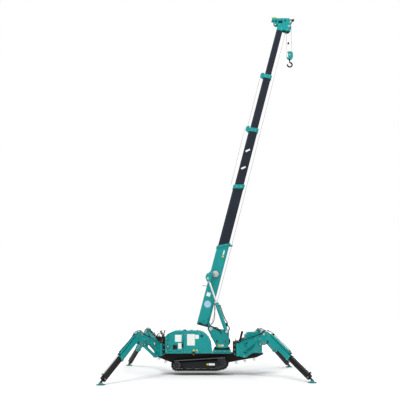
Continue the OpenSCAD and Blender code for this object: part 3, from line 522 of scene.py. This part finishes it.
def door_fittings():
    """Blank plates, recess, pull and oval boss on the service door."""
    side_plate("door_plate_upper", "door", white_plate, -1, cover_face, -0.850, -0.690,
               0.800, 0.968)
    side_plate("door_plate_lower", "door", white_plate, -1, cover_face, -0.772, -0.690,
               0.632, 0.768)
    bm = bmesh.new()
    add_block(bm, (-0.905, -0.368, 0.618), (-0.797, -cover_face, 0.725), 0.006)
    add_block(bm, (-0.684, -0.366, 0.663), (-0.644, -cover_face, 0.805), 0.003)
    done("door_recesses", bm, "door", knob_black)
    bm = bmesh.new()
    add_rod(bm, (-0.850, -0.376, 0.672), (-0.850, -0.368, 0.672), 0.028, 32)
    add_block(bm, (-0.670, -0.373, 0.690), (-0.656, -0.366, 0.780), 0.003)
    done("door_catch", bm, "door", dark)
    bm = bmesh.new()
    add_oval(bm, -1.020, 0.687, -cover_face, -1, 0.096, 0.070, 0.008)
    done("door_boss_rim", bm, "door", knob_black)
    bm = bmesh.new()
    add_oval(bm, -1.020, 0.687, -0.368, -1, 0.052, 0.030, 0.003)
    done("door_boss_face", bm, "door", white_plate)
    bm = bmesh.new()
    for x, z in ((-1.060, 0.575), (-1.060, 0.880), (-0.665, 0.575), (-0.665, 0.985),
                 (-0.86, 0.575)):
        add_hex(bm, (x, -cover_face, z), (0, -1, 0), 0.013, 0.006)
    done("door_bolts", bm, "door", zinc)


def deck_fittings():
    """Bolt rows on the deck's edge, step treads and the slew ring's bolts."""
    bm = bmesh.new()
    for side in (-1, 1):
        for k in range(13):
            add_hex(bm, (-1.04 + k * 0.125, side * 0.368, 0.527), (0, side, 0), 0.008, 0.004)
        for x in (0.14, 0.26, 0.38, 0.50):
            add_hex(bm, (x, side * 0.300, 0.566), (0, side, 0), 0.014, 0.006)
    done("deck_bolts", bm, "chassis", zinc)
    bm = bmesh.new()
    add_bolt_circle(bm, (0.318, 0, 0.6602), (0, 0, 1), 0.180, 24, 0.014, 0.007, 7.5)
    done("turret_bolts", bm, "turret", zinc)
    # Cross ribs of the tread strips beside the slew ring
    bm = bmesh.new()
    for side in (-1, 1):
        for k in range(9):
            x = 0.125 + k * 0.045
            side_block(bm, side, (x, x + 0.008), (0.304, 0.360), (0.533, 0.537), 0.001)
    done("step_treads", bm, "chassis", black)


# Axles of the track's rollers and wheels: x, or x and z
roller_x = (-0.596, -0.406, -0.216, -0.026)
roller_z = 0.1817
drive_wheel = (-0.806, 0.235)
front_wheel = (0.304, 0.295)


def track_fittings():
    """Axle heads, hub bolts, tension covers, plates, painted highlight dots on the belts and motor
    hoses.
    """
    for side, tag in ((-1, "near"), (1, "far")):
        out = (0, side, 0)
        bm = bmesh.new()
        for x in roller_x:
            add_cap(bm, (x, side * 0.337, roller_z), out, 0.016, 0.004)
        add_cap(bm, (front_wheel[0], side * 0.337, front_wheel[1]), out, 0.026, 0.006)
        add_bolt_circle(bm, (drive_wheel[0], side * 0.347, drive_wheel[1]), out, 0.030, 6,
                        0.013, 0.006)
        done("axle_heads_" + tag, bm, "chassis", cast)
        bm = bmesh.new()
        add_bolt_circle(bm, (drive_wheel[0], side * 0.320, drive_wheel[1]), out, 0.080, 9,
                        0.012, 0.005)
        done("drive_bolts_" + tag, bm, "chassis", zinc)
        bm = bmesh.new()
        add_rod(bm, (-0.100, side * frame_face, 0.262), (-0.100, side * 0.335, 0.262), 0.020, 24)
        side_block(bm, side, (-0.400, -0.240), (frame_face, 0.334), (0.225, 0.285), 0.001)
        for x in (-0.385, -0.255):
            add_hex(bm, (x, side * 0.334, 0.255), out, 0.012, 0.005)
        done("tension_cover_" + tag, bm, "chassis", dark)
        side_plate("track_plate_yellow_" + tag, "chassis", yellow_plate, side, frame_face,
                   -0.070, -0.030, 0.240, 0.280)
        side_plate("track_plate_white_" + tag, "chassis", white_plate, side, frame_face,
                   -0.020, 0.130, 0.236, 0.284)
        # Painted highlights: pale zinc dots along the edge of the upper run, for the light on its
        # lugs
        highlight_pitch, run_slope = 0.0485, 0.0605
        bm = bmesh.new()
        for k in range(26):
            x = -0.850 + k * highlight_pitch
            z = 0.351 + (x - drive_wheel[0]) * run_slope
            add_rod(bm, (x, side * 0.374, z), (x, side * 0.378, z), 0.008, 10)
        done("belt_highlight_dots_" + tag, bm, "chassis", zinc)
        # Web of the track frame beside the drive wheel
        bm = bmesh.new()
        side_block(bm, side, (-0.730, -0.610), (0.262, 0.268), (0.190, 0.300))
        done("frame_web_" + tag, bm, "chassis", dark)
        # Hose to the drive motor
        bm = bmesh.new()
        add_hose(bm, [(-0.74, side * 0.17, 0.31), (-0.80, side * 0.20, 0.315),
                      (-0.84, side * 0.215, 0.29), (-0.85, side * 0.218, 0.26)], 0.010)
        done("motor_hose_" + tag, bm, "chassis", hose_black)


lever_y = (-0.135, -0.090, -0.045, 0.0, 0.045, 0.090, 0.135)


def console_fittings():
    """Boots, gauges, stop button, guard rails, hoses and striped post of the console."""
    bm = bmesh.new()
    for y in lever_y:
        for k in range(3):
            z = 0.917 + k * 0.006
            add_rod(bm, (-1.176, y, z), (-1.176, y, z + 0.006), 0.017 - k * 0.003, 20)
    done("lever_boots", bm, "chassis", hose_black)
    slope = Matrix.Rotation(math.radians(15.3), 4, "Y")
    face = Matrix.Translation((-1.281, 0, 0.9205)) @ slope
    gauge_y = (-0.11, -0.03)
    bm = bmesh.new()
    for y in gauge_y:
        add_rod(bm, (0, y, 0), (0, y, 0.008), 0.030, 32, face)
    add_rod(bm, (0, 0.045, 0), (0, 0.045, 0.010), 0.012, 20, face)
    done("gauge_rims", bm, "chassis", zinc)
    bm = bmesh.new()
    for y in gauge_y:
        add_rod(bm, (0, y, 0.008), (0, y, 0.0095), 0.026, 32, face)
    done("gauge_faces", bm, "chassis", white_plate)
    bm = bmesh.new()
    add_rod(bm, (0, 0.11, 0.0), (0, 0.11, 0.012), 0.012, 20, face)
    add_rod(bm, (0, 0.11, 0.012), (0, 0.11, 0.024), 0.021, 32, face)
    done("stop_button", bm, "chassis", red_lens)
    bm = bmesh.new()
    for y in (-0.168, 0.168):
        add_hose(bm, [(-1.150, y, 0.905), (-1.160, y, 0.975), (-1.200, y, 1.000),
                      (-1.290, y, 0.985), (-1.325, y, 0.930)], 0.007)
    done("console_rails", bm, "chassis", black)
    # Hoses from the console down behind the deck
    bm = bmesh.new()
    for k in range(5):
        y = -0.10 + k * 0.05
        add_hose(bm, [(-1.215, y, 0.835), (-1.262, y, 0.790), (-1.268, y, 0.700),
                      (-1.250, y, 0.600), (-1.235, y, 0.523)], 0.008)
    done("console_hoses", bm, "chassis", hose_black)
    # Striped post beside the console, white bands on black
    lean = Matrix.Translation((-1.302, 0.150, 0.800)) @ Matrix.Rotation(math.radians(-28), 4, "Y")
    bm = bmesh.new()
    add_rod(bm, (0, 0, 0), (0, 0, 0.250), 0.012, 20, lean)
    done("striped_post", bm, "chassis", black)
    bm = bmesh.new()
    for z in (0.130, 0.170, 0.210):
        add_rod(bm, (0, 0, z), (0, 0, z + 0.020), 0.0135, 20, lean)
    done("striped_post_bands", bm, "chassis", white_plate)


def front_box_fittings():
    """Lid seam, latches, handle and bolts of the front box."""
    bm = bmesh.new()
    for side in (-1, 1):
        for x in (0.980, 1.150):
            side_block(bm, side, (x, x + 0.050), (box_face, box_face + 0.012),
                       (0.735, 0.790), 0.003)
        side_block(bm, side, (0.892, 1.300), (box_face, box_face + 0.003), (0.758, 0.764), 0)
    done("box_latches", bm, "chassis", dark)
    bm = bmesh.new()
    for side in (-1, 1):
        for x in (0.92, 1.04, 1.16, 1.28):
            add_hex(bm, (x, side * box_face, 0.555), (0, side, 0), 0.014, 0.006)
    add_hose(bm, [(1.312, -0.07, 0.700), (1.345, -0.07, 0.710), (1.355, 0, 0.712),
                  (1.345, 0.07, 0.710), (1.312, 0.07, 0.700)], 0.008)
    done("box_bolts", bm, "chassis", zinc)


def column_fittings():
    """Pin caps, blank plates, cable hole, hub bolts and hoses of the column."""
    for side, tag in ((-1, "near"), (1, "far")):
        out = (0, side, 0)
        bm = bmesh.new()
        add_cap(bm, (pivot_x, side * 0.154, pivot_z), out, 0.046)
        add_bolt_circle(bm, (drum_x, side * 0.152, drum_z), out, 0.018, 3, 0.010, 0.004)
        add_cap(bm, (cylinder_x, side * 0.240, cylinder_z), out, 0.034)
        done("column_caps_" + tag, bm, "turret", zinc)
        bm = bmesh.new()
        add_bolt_circle(bm, (drum_x, side * column_face, drum_z), out, 0.052, 8, 0.014, 0.006)
        for x, z in ((0.21, 0.70), (0.30, 0.70), (0.43, 0.70), (0.33, 0.93), (0.14, 0.93)):
            add_hex(bm, (x, side * column_face, z), out, 0.014, 0.006)
        done("column_bolts_" + tag, bm, "turret", green)
        side_plate("column_yellow_" + tag, "turret", yellow_plate, side, column_face,
                   0.216, 0.262, 0.672, 0.722)
        side_plate("column_white_" + tag, "turret", white_plate, side, column_face,
                   0.276, 0.356, 0.676, 0.720)
        bm = bmesh.new()
        add_oval(bm, 0.190, 0.800, side * column_face, side, 0.046, 0.070, 0.006)
        done("cable_hole_" + tag, bm, "turret", knob_black)
    # Rope lying in turns on the drum
    bm = bmesh.new()
    for k in range(19):
        add_ring(bm, (drum_x, -0.0945 + k * 0.0105, drum_z), (0, 1, 0), 0.0802, 0.0052, 40, 8)
    done("drum_turns", bm, "winch", rope_steel)
    # Three hoses that rise inside the column and bend over beside the boom's pivot
    bm = bmesh.new()
    for y in (0.008, 0.028, 0.048):
        add_hose(bm, [(0.255, y, 0.665), (0.240, y, 0.800), (0.265, y, 0.960),
                      (0.262, y, 1.050), (0.215, y, 1.122), (0.150, y, 1.145),
                      (0.110, y, 1.120)], 0.009)
    # A pair along the near plate's upper edge
    for drop in (0.0, 0.020):
        add_hose(bm, [(-0.036, -0.150, 1.120 - drop), (0.000, -0.152, 1.166 - drop / 2),
                      (0.060, -0.153, 1.172 - drop / 2), (0.130, -0.152, 1.142 - drop),
                      (0.200, -0.151, 1.107 - drop), (0.267, -0.151, 1.061 - drop),
                      (0.300, -0.150, 1.000 - drop)], 0.009)
    done("column_hoses", bm, "turret", hose_black)


# Boom fittings

# Half width and mouth of each section from the base outwards, and the body that it rides on
sec_half = (0.110, 0.097, 0.085, 0.074)
mouth_u = (2.120, 3.740, 5.360, 6.950)
section_body = ("boom", "boom_2", "boom_3", "boom_4")


def base_plate(name, mat, side, u0, u1, v0, v1):
    """A blank plate on a flat side of the boom's base."""
    thick = 0.002
    lo = min(side * sec_half[0], side * (sec_half[0] + thick))
    add_plate(name, "boom", mat, (u0, lo, v0), (u1, lo + thick, v1), turn=boom_frame)


def boom_fittings():
    """Blank plates, disc, marks, screws, bolts, back rod, hoses and the reel's rim."""
    for side, tag in ((-1, "near"), (1, "far")):
        base_plate("boom_plate_" + tag, white_plate, side, 0.762, 0.858, 0.222, 0.318)
        base_plate("boom_note_" + tag, white_plate, side, 1.885, 2.000, 0.148, 0.178)
        base_plate("boom_note_low_" + tag, yellow_plate, side, 1.815, 1.862, 0.142, 0.182)
        bm = bmesh.new()
        add_rod(bm, (0.567, side * 0.110, 0.232), (0.567, side * 0.1125, 0.232), 0.086, 48)
        done("boom_disc_" + tag, bm, "boom", pale_blue, boom_frame)
        for k, (u, v) in enumerate(((4.267, 0.227), (4.761, 0.231))):
            slant = (Matrix.Translation((u, side * sec_half[2], v))
                     @ Matrix.Rotation(math.radians(50), 4, "Y"))
            bm = bmesh.new()
            side_block(bm, side, (-0.064, 0.064), (0, 0.002), (-0.022, 0.022), 0, slant)
            done("length_mark_%d_%s" % (k + 1, tag), bm, "boom_3", white_plate, boom_frame)
    for i, body in enumerate(section_body):
        bm = bmesh.new()
        for side in (-1, 1):
            y = side * (sec_half[i] + 0.013)
            for v in (-0.055, 0.055):
                add_hex(bm, (mouth_u[i] - v * (0.5 if i == 0 else 0.2), y, boom_axis + v),
                        (0, side, 0), 0.018, 0.007)
        done("collar_screws_%d" % (i + 1), bm, body, zinc, boom_frame)
    # Slide-pad screws in each section's side, near its mouth
    for i, body in enumerate(section_body):
        u, v = mouth_u[i] - 0.100, boom_axis + 0.03
        bm = bmesh.new()
        for side in (-1, 1):
            add_rod(bm, (u, side * sec_half[i], v), (u, side * (sec_half[i] + 0.003), v),
                    0.012, 20)
        done("slide_pad_screws_%d" % (i + 1), bm, body, green if i == 0 else boom_dark,
             boom_frame)
    # Rod-eye bracket bolts, foot bolts and the short rod on the back
    bm = bmesh.new()
    for side in (-1, 1):
        add_cap(bm, (1.192, side * 0.233, 0.392), (0, side, 0), 0.030)
        for u, v in ((1.36, 0.345), (1.30, 0.39), (1.16, 0.36)):
            add_hex(bm, (u, side * 0.233, v), (0, side, 0), 0.014, 0.006)
        add_cap(bm, (0.0, side * 0.110, 0.0), (0, side, 0), 0.030, 0.004)
    done("bracket_bolts", bm, "boom", zinc, boom_frame)
    bm = bmesh.new()
    for side in (-1, 1):
        for u, v in ((0.05, 0.14), (0.05, 0.30), (0.14, 0.22), (0.20, 0.12)):
            add_hex(bm, (u, side * 0.110, v), (0, side, 0), 0.020, 0.009)
    done("foot_bolts", bm, "boom", black, boom_frame)
    bm = bmesh.new()
    add_rod(bm, (-0.062, -0.045, 2.176), (-0.158, -0.045, 2.188), 0.006, 16)
    add_rod(bm, (-0.158, -0.045, 2.188), (-0.172, -0.045, 2.190), 0.011, 16)
    done("back_rod", bm, "boom", dark)
    # Slack hoses from the boom's belly to its foot
    bm = bmesh.new()
    for y in (-0.055, -0.035):
        add_hose(bm, [(0.640, y, 0.068), (0.560, y, 0.045), (0.430, y, 0.005),
                      (0.300, y, -0.022), (0.170, y, -0.020), (0.080, y, 0.020)], 0.009)
    done("boom_foot_hoses", bm, "boom", hose_black, boom_frame)
    # Valve block at the foot, with its hoses
    bm = bmesh.new()
    add_block(bm, (0.015, -0.138, 0.255), (0.080, -0.110, 0.335), 0.003)
    for rise in (0.0, 0.025):
        add_hose(bm, [(0.035 + rise, -0.128, 0.258), (0.022 + rise, -0.134, 0.200),
                      (0.035 + rise, -0.132, 0.130), (0.080 + rise, -0.124, 0.095)], 0.008)
    done("foot_valve", bm, "boom", hose_black, boom_frame)
    # Rim of the cord reel
    bm = bmesh.new()
    add_ring(bm, (1.354, -0.1435, 0.233), (0, 1, 0), 0.086, 0.006, 40, 8)
    done("reel_rim", bm, "boom", dark, boom_frame)


def lift_fittings():
    """Gland rings, port blocks and pipes of the lift cylinders."""
    lean = math.radians(109.15)
    place = (Matrix.Translation((cylinder_x, 0, cylinder_z))
             @ Matrix.Rotation(-lean, 4, "Y"))
    for side, tag in ((-1, "near"), (1, "far")):
        y = side * 0.196
        bm = bmesh.new()
        add_bolt_circle(bm, (0.745, y, 0), (1, 0, 0), 0.038, 6, 0.012, 0.006)
        add_ring(bm, (0.700, y, 0), (1, 0, 0), 0.046, 0.004, 32, 8)
        done("gland_bolts_" + tag, bm, "lift_barrel", zinc, place)
        bm = bmesh.new()
        add_block(bm, (0.110, y - 0.024, -0.082), (0.190, y + 0.024, -0.042), 0.003)
        add_block(bm, (0.640, y - 0.018, -0.068), (0.680, y + 0.018, -0.042), 0.003)
        done("port_blocks_" + tag, bm, "lift_barrel", dark, place)
        bm = bmesh.new()
        add_hose(bm, [(0.150, y, -0.080), (0.200, y, -0.092), (0.300, y, -0.072),
                      (0.450, y, -0.062), (0.600, y, -0.066), (0.655, y, -0.066)], 0.007)
        add_hose(bm, [(0.130, y, -0.080), (0.085, y * 0.96, -0.098), (0.030, y * 0.88, -0.090),
                      (0.005, y * 0.80, -0.060), (0.000, y * 0.75, -0.030)], 0.008)
        done("lift_hoses_" + tag, bm, "lift_barrel", hose_black, place)


def head_fittings():
    """Lamp, roller, switch box, bolts, and the weight that stops overwinding."""
    head_top = 9.603
    bm = bmesh.new()
    add_block(bm, (1.788, -0.044, head_top + 0.002), (1.908, 0.044, head_top + 0.067), 0.014)
    done("head_lamp", bm, "boom_5", lamp_lens)
    bm = bmesh.new()
    for side in (-1, 1):
        add_cap(bm, (sheave_x, side * 0.096, sheave_z), (0, side, 0), 0.034)
        for x, z in ((1.97, 9.40), (2.04, 9.29), (2.10, 9.56), (1.99, 9.57), (2.22, 9.57),
                     (2.27, 9.46), (2.20, 9.26)):
            add_hex(bm, (x, side * 0.087, z), (0, side, 0), 0.018, 0.008)
    done("head_bolts", bm, "boom_5", zinc)
    bm = bmesh.new()
    add_rod(bm, (2.383, -0.032, 9.577), (2.383, 0.032, 9.577), 0.0285, 32)
    done("guide_roller", bm, "boom_5", knob_black)
    bm = bmesh.new()
    add_block(bm, (2.206, -0.028, 9.190), (2.252, 0.028, 9.232), 0.004)
    done("switch_boxes", bm, "boom_5", dark)
    bm = bmesh.new()
    wire_x = 2.229
    add_rod(bm, (wire_x, 0, 8.900), (wire_x, 0, 9.190), 0.002, 8)
    done("weight_wire", bm, "load_line", zinc)
    bm = bmesh.new()
    add_rod(bm, (wire_x, 0, 8.862), (wire_x, 0, 8.905), 0.024, 24)
    add_rod(bm, (wire_x, 0, 8.905), (wire_x, 0, 8.914), 0.014, 24)
    done("switch_weight", bm, "load_line", black)


def hook_fittings():
    """Side bolts and pale edge plates of the block, and the hook's catch."""
    x, z = sheave_x, block_z
    cheek = 0.038
    bm = bmesh.new()
    for side in (-1, 1):
        add_cap(bm, (x, side * 0.044, z), (0, side, 0), 0.024, 0.004)
        for dx, dz in ((-0.050, 0.085), (0.060, 0.085), (-0.045, -0.085), (0.065, -0.085)):
            add_hex(bm, (x + dx, side * cheek, z + dz), (0, side, 0), 0.016, 0.007)
    done("block_bolts", bm, "load_block", zinc)
    for side, tag in ((-1, "near"), (1, "far")):
        side_plate("block_plate_" + tag, "load_block", white_plate, side, cheek,
                   x - 0.072, x - 0.046, z - 0.062, z + 0.064, 0.0015, 0.003)
    bm = bmesh.new()
    add_hose(bm, [(x - 0.002, 0, 8.312), (x - 0.034, 0, 8.296), (x - 0.056, 0, 8.272),
                  (x - 0.060, 0, 8.250)], 0.005)
    done("hook_catch", bm, "load_hook", zinc)


# Legs

swing_pin = {"rear": (-1.216, 0.300), "front": (0.714, 0.300)}
foot = {"rear": (-2.315, 2.268), "front": (2.243, 1.836)}
knee_r, knee_z, foot_z = 0.890, 1.010, 0.060
mouth_share = 0.545


def leg_places(end, side):
    """One leg's plan frame (r outwards from the swing pin), its shank frame (u down along
    the leg from the knee) and the shank's length."""
    pin, pad = Vector(swing_pin[end]), Vector(foot[end])
    run = pad - pin
    plan = (Matrix.Translation((pin.x, side * pin.y, 0))
            @ Matrix.Rotation(side * math.atan2(run.y, run.x), 4, "Z"))
    reach = run.length - knee_r
    drop = math.atan2(knee_z - foot_z, reach)
    shank = plan @ Matrix.Translation((knee_r, 0, knee_z)) @ Matrix.Rotation(drop, 4, "Y")
    return plan, shank, math.hypot(reach, knee_z - foot_z)


def arm_fittings(leg, plan):
    """Bolts on the arm's web, gland of its folding cylinder, hoses on its top flange."""
    arm = leg + "_arm"
    bm = bmesh.new()
    way = Vector((0.722 - 0.232, 0, 0.748 - 0.470)).normalized()
    tip = Vector((0.722, 0, 0.748))
    add_rod(bm, tip, tip + way * 0.012, 0.026, 24)
    add_bolt_circle(bm, tip, way, 0.033, 6, 0.008, 0.004)
    for out in (-1, 1):
        add_cap(bm, (0.232, out * 0.046, 0.470), (0, out, 0), 0.020, 0.004)
        for r, z in ((0.12, 0.70), (0.12, 0.60), (0.42, 0.80), (0.60, 0.90), (0.78, 0.97)):
            add_hex(bm, (r, out * 0.032, z), (0, out, 0), 0.014, 0.006)
    done(leg + "_arm_bolts", bm, arm, zinc, plan)
    bm = bmesh.new()
    for y in (-0.020, 0.020):
        add_hose(bm, [(0.075, y, 0.778), (0.110, y, 0.815), (0.250, y, 0.850),
                      (0.400, y, 0.905), (0.600, y, 0.965), (0.740, y, 1.012),
                      (0.820, y, 1.070), (0.880, y, 1.098)], 0.009)
    add_hose(bm, [(0.300, 0.030, 0.535), (0.330, 0.050, 0.590), (0.390, 0.048, 0.660),
                  (0.500, 0.046, 0.740), (0.590, 0.040, 0.760), (0.640, 0.030, 0.745)], 0.007)
    done(leg + "_arm_hoses", bm, arm, hose_black, plan)
    bm = bmesh.new()
    for r, z in ((0.250, 0.842), (0.500, 0.925), (0.700, 0.990)):
        add_block(bm, (r - 0.010, -0.034, z), (r + 0.010, 0.034, z + 0.026), 0.002)
    done(leg + "_hose_clips", bm, arm, dark, plan)


def box_fittings(leg, plan, shank, mouth):
    """Pin caps, reflectors, bolts, cylinder ports and hoses of one leg's outer box."""
    outer = leg + "_outer"
    bm = bmesh.new()
    for out in (-1, 1):
        add_cap(bm, (knee_r, out * 0.068, knee_z), (0, out, 0), 0.032, 0.005)
        add_cap(bm, (knee_r - 0.126, out * 0.066, knee_z - 0.236), (0, out, 0), 0.022, 0.004)
    done(leg + "_pin_caps", bm, outer, zinc, plan)
    bm = bmesh.new()
    for out in (-1, 1):
        at = Vector((knee_r - 0.012, out * 0.056, knee_z - 0.198))
        add_rod(bm, at, at + Vector((0, out * 0.006, 0)), 0.022, 32)
    done(leg + "_reflectors", bm, outer, red_lens, plan)
    bm = bmesh.new()
    for out in (-1, 1):
        for w in (-0.045, 0.035):
            add_hex(bm, (mouth - 0.030, out * 0.060, w), (0, out, 0), 0.016, 0.007)
            add_hex(bm, (0.150, out * 0.056, w), (0, out, 0), 0.014, 0.006)
    done(leg + "_box_bolts", bm, outer, zinc, shank)
    bm = bmesh.new()
    add_rod(bm, (mouth - 0.050, 0, 0.094), (mouth - 0.028, 0, 0.094), 0.032, 32)
    add_block(bm, (0.165, -0.020, 0.116), (0.205, 0.020, 0.136), 0.003)
    add_block(bm, (mouth - 0.110, -0.018, 0.116), (mouth - 0.075, 0.018, 0.134), 0.003)
    done(leg + "_cylinder_ports", bm, outer, dark, shank)
    bm = bmesh.new()
    add_hose(bm, [(mouth - 0.095, 0.0, 0.134), (mouth - 0.140, 0.004, 0.142),
                  (0.450, 0.012, 0.134), (0.300, 0.012, 0.134), (0.230, 0.010, 0.146),
                  (0.120, 0.020, 0.134), (0.030, 0.020, 0.108), (-0.020, 0.020, 0.098)], 0.007)
    add_hose(bm, [(0.185, -0.006, 0.134), (0.150, -0.014, 0.152), (0.080, -0.020, 0.130),
                  (0.020, -0.020, 0.106), (-0.020, -0.020, 0.098)], 0.007)
    done(leg + "_box_hoses", bm, outer, hose_black, shank)


def foot_fittings(leg, end, plan, shank, length):
    """Bolts on one leg's inner box, the boot on its ball and the bolts of its pad."""
    inner = leg + "_inner"
    bm = bmesh.new()
    end_u = length - 0.070
    add_hex(bm, (end_u - 0.040, 0, 0.094), (1, 0, 0), 0.024, 0.010)
    for out in (-1, 1):
        add_hex(bm, (end_u - 0.030, out * 0.044, 0.0), (0, out, 0), 0.020, 0.008)
    done(leg + "_inner_bolts", bm, inner, zinc, shank)
    bm = bmesh.new()
    foot_r = (Vector(foot[end]) - Vector(swing_pin[end])).length
    add_ring(bm, (foot_r, 0, 0.054), (0, 0, 1), 0.029, 0.007, 32, 10)
    add_ring(bm, (foot_r, 0, 0.014), (0, 0, 1), 0.086, 0.004, 48, 8)
    done(leg + "_foot_boot", bm, inner, hose_black, plan)
    bm = bmesh.new()
    add_bolt_circle(bm, (foot_r, 0, 0.012), (0, 0, 1), 0.074, 6, 0.014, 0.006)
    done(leg + "_foot_bolts", bm, inner, zinc, plan)


def leg_fittings(end, side, leg):
    """Everything on one leg, from its arm to its pad."""
    plan, shank, length = leg_places(end, side)
    mouth = length * mouth_share
    arm_fittings(leg, plan)
    box_fittings(leg, plan, shank, mouth)
    foot_fittings(leg, end, plan, shank, length)


def bracket_fittings():
    """Bolts and the locking pin on each leg bracket of the main frame."""
    bm = bmesh.new()
    pins = bmesh.new()
    for end in ("rear", "front"):
        x, y = swing_pin[end]
        inward = 1 if end == "rear" else -1
        for side in (-1, 1):
            add_bolt_circle(bm, (x, side * y, 0.800), (0, 0, 1), 0.028, 3, 0.012, 0.006)
            for z in (0.500, 0.610, 0.720):
                add_hex(bm, (x + inward * 0.090, side * 0.320, z), (0, side, 0), 0.016, 0.007)
            at = Vector((x + inward * 0.050, side * 0.312, 0.788))
            add_rod(pins, at, at + Vector((0, 0, 0.055)), 0.008, 16)
            add_ring(pins, at + Vector((0, 0, 0.066)), (0, 1, 0), 0.014, 0.003, 24, 8)
    done("bracket_bolt_heads", bm, "chassis", zinc)
    done("lock_pins", pins, "chassis", brass_tan)


# Ropes

def rope_stretch(name, body, u0, off0, u1, off1):
    """A straight stretch of rope beside the boom, at two distances from its axis."""
    bm = bmesh.new()
    add_rod(bm, (u0, 0, boom_axis + off0), (u1, 0, boom_axis + off1), 0.0045, 12)
    done(name, bm, body, rope_steel, boom_frame)


def hoist_off(u):
    """The hoist rope's distance from the boom's axis, level up to the base's mouth."""
    start_u, start_off, slope = 2.20, -0.212, 0.036 / 6.3
    return start_off + max(u - start_u, 0) * slope


def rope_runs():
    """The hoist rope on the load side and the two outer extension ropes on the back,
    each stretch riding on the section that it lies along."""
    for name, body, u0, u1 in (("hoist_rope_1", "boom", 0.10, 2.20),
                               ("hoist_rope_2", "boom_2", 2.20, 3.74),
                               ("hoist_rope_3", "boom_3", 3.74, 5.36),
                               ("hoist_rope_4", "boom_4", 5.36, 6.95),
                               ("hoist_rope_5", "boom_5", 6.95, 8.38)):
        rope_stretch(name, body, u0, hoist_off(u0), u1, hoist_off(u1))
    rope_stretch("extension_rope_lower", "boom_3", 3.74, 0.213, 5.37, 0.240)
    rope_stretch("extension_rope_upper", "boom_4", 5.40, 0.178, 6.96, 0.190)


def fall_ropes():
    """The two falls from the head's sheaves to the block."""
    top, low = 9.350, 8.520
    bm = bmesh.new()
    for x in (2.182, 2.318):
        add_rod(bm, (x, 0, low), (x, 0, top), 0.005, 16)
    obj = done("fall_ropes", bm, None, rope_steel)
    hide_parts("hoist_falls")
    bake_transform(obj)


set_camera()
build_studio()
dress_solids()
cover_fittings()
door_fittings()
deck_fittings()
track_fittings()
console_fittings()
front_box_fittings()
column_fittings()
boom_fittings()
lift_fittings()
head_fittings()
hook_fittings()
bracket_fittings()
for leg_end in ("front", "rear"):
    for leg_side, hand in ((1, "left"), (-1, "right")):
        leg_fittings(leg_end, leg_side, leg_end + "_" + hand)
rope_runs()
fall_ropes()
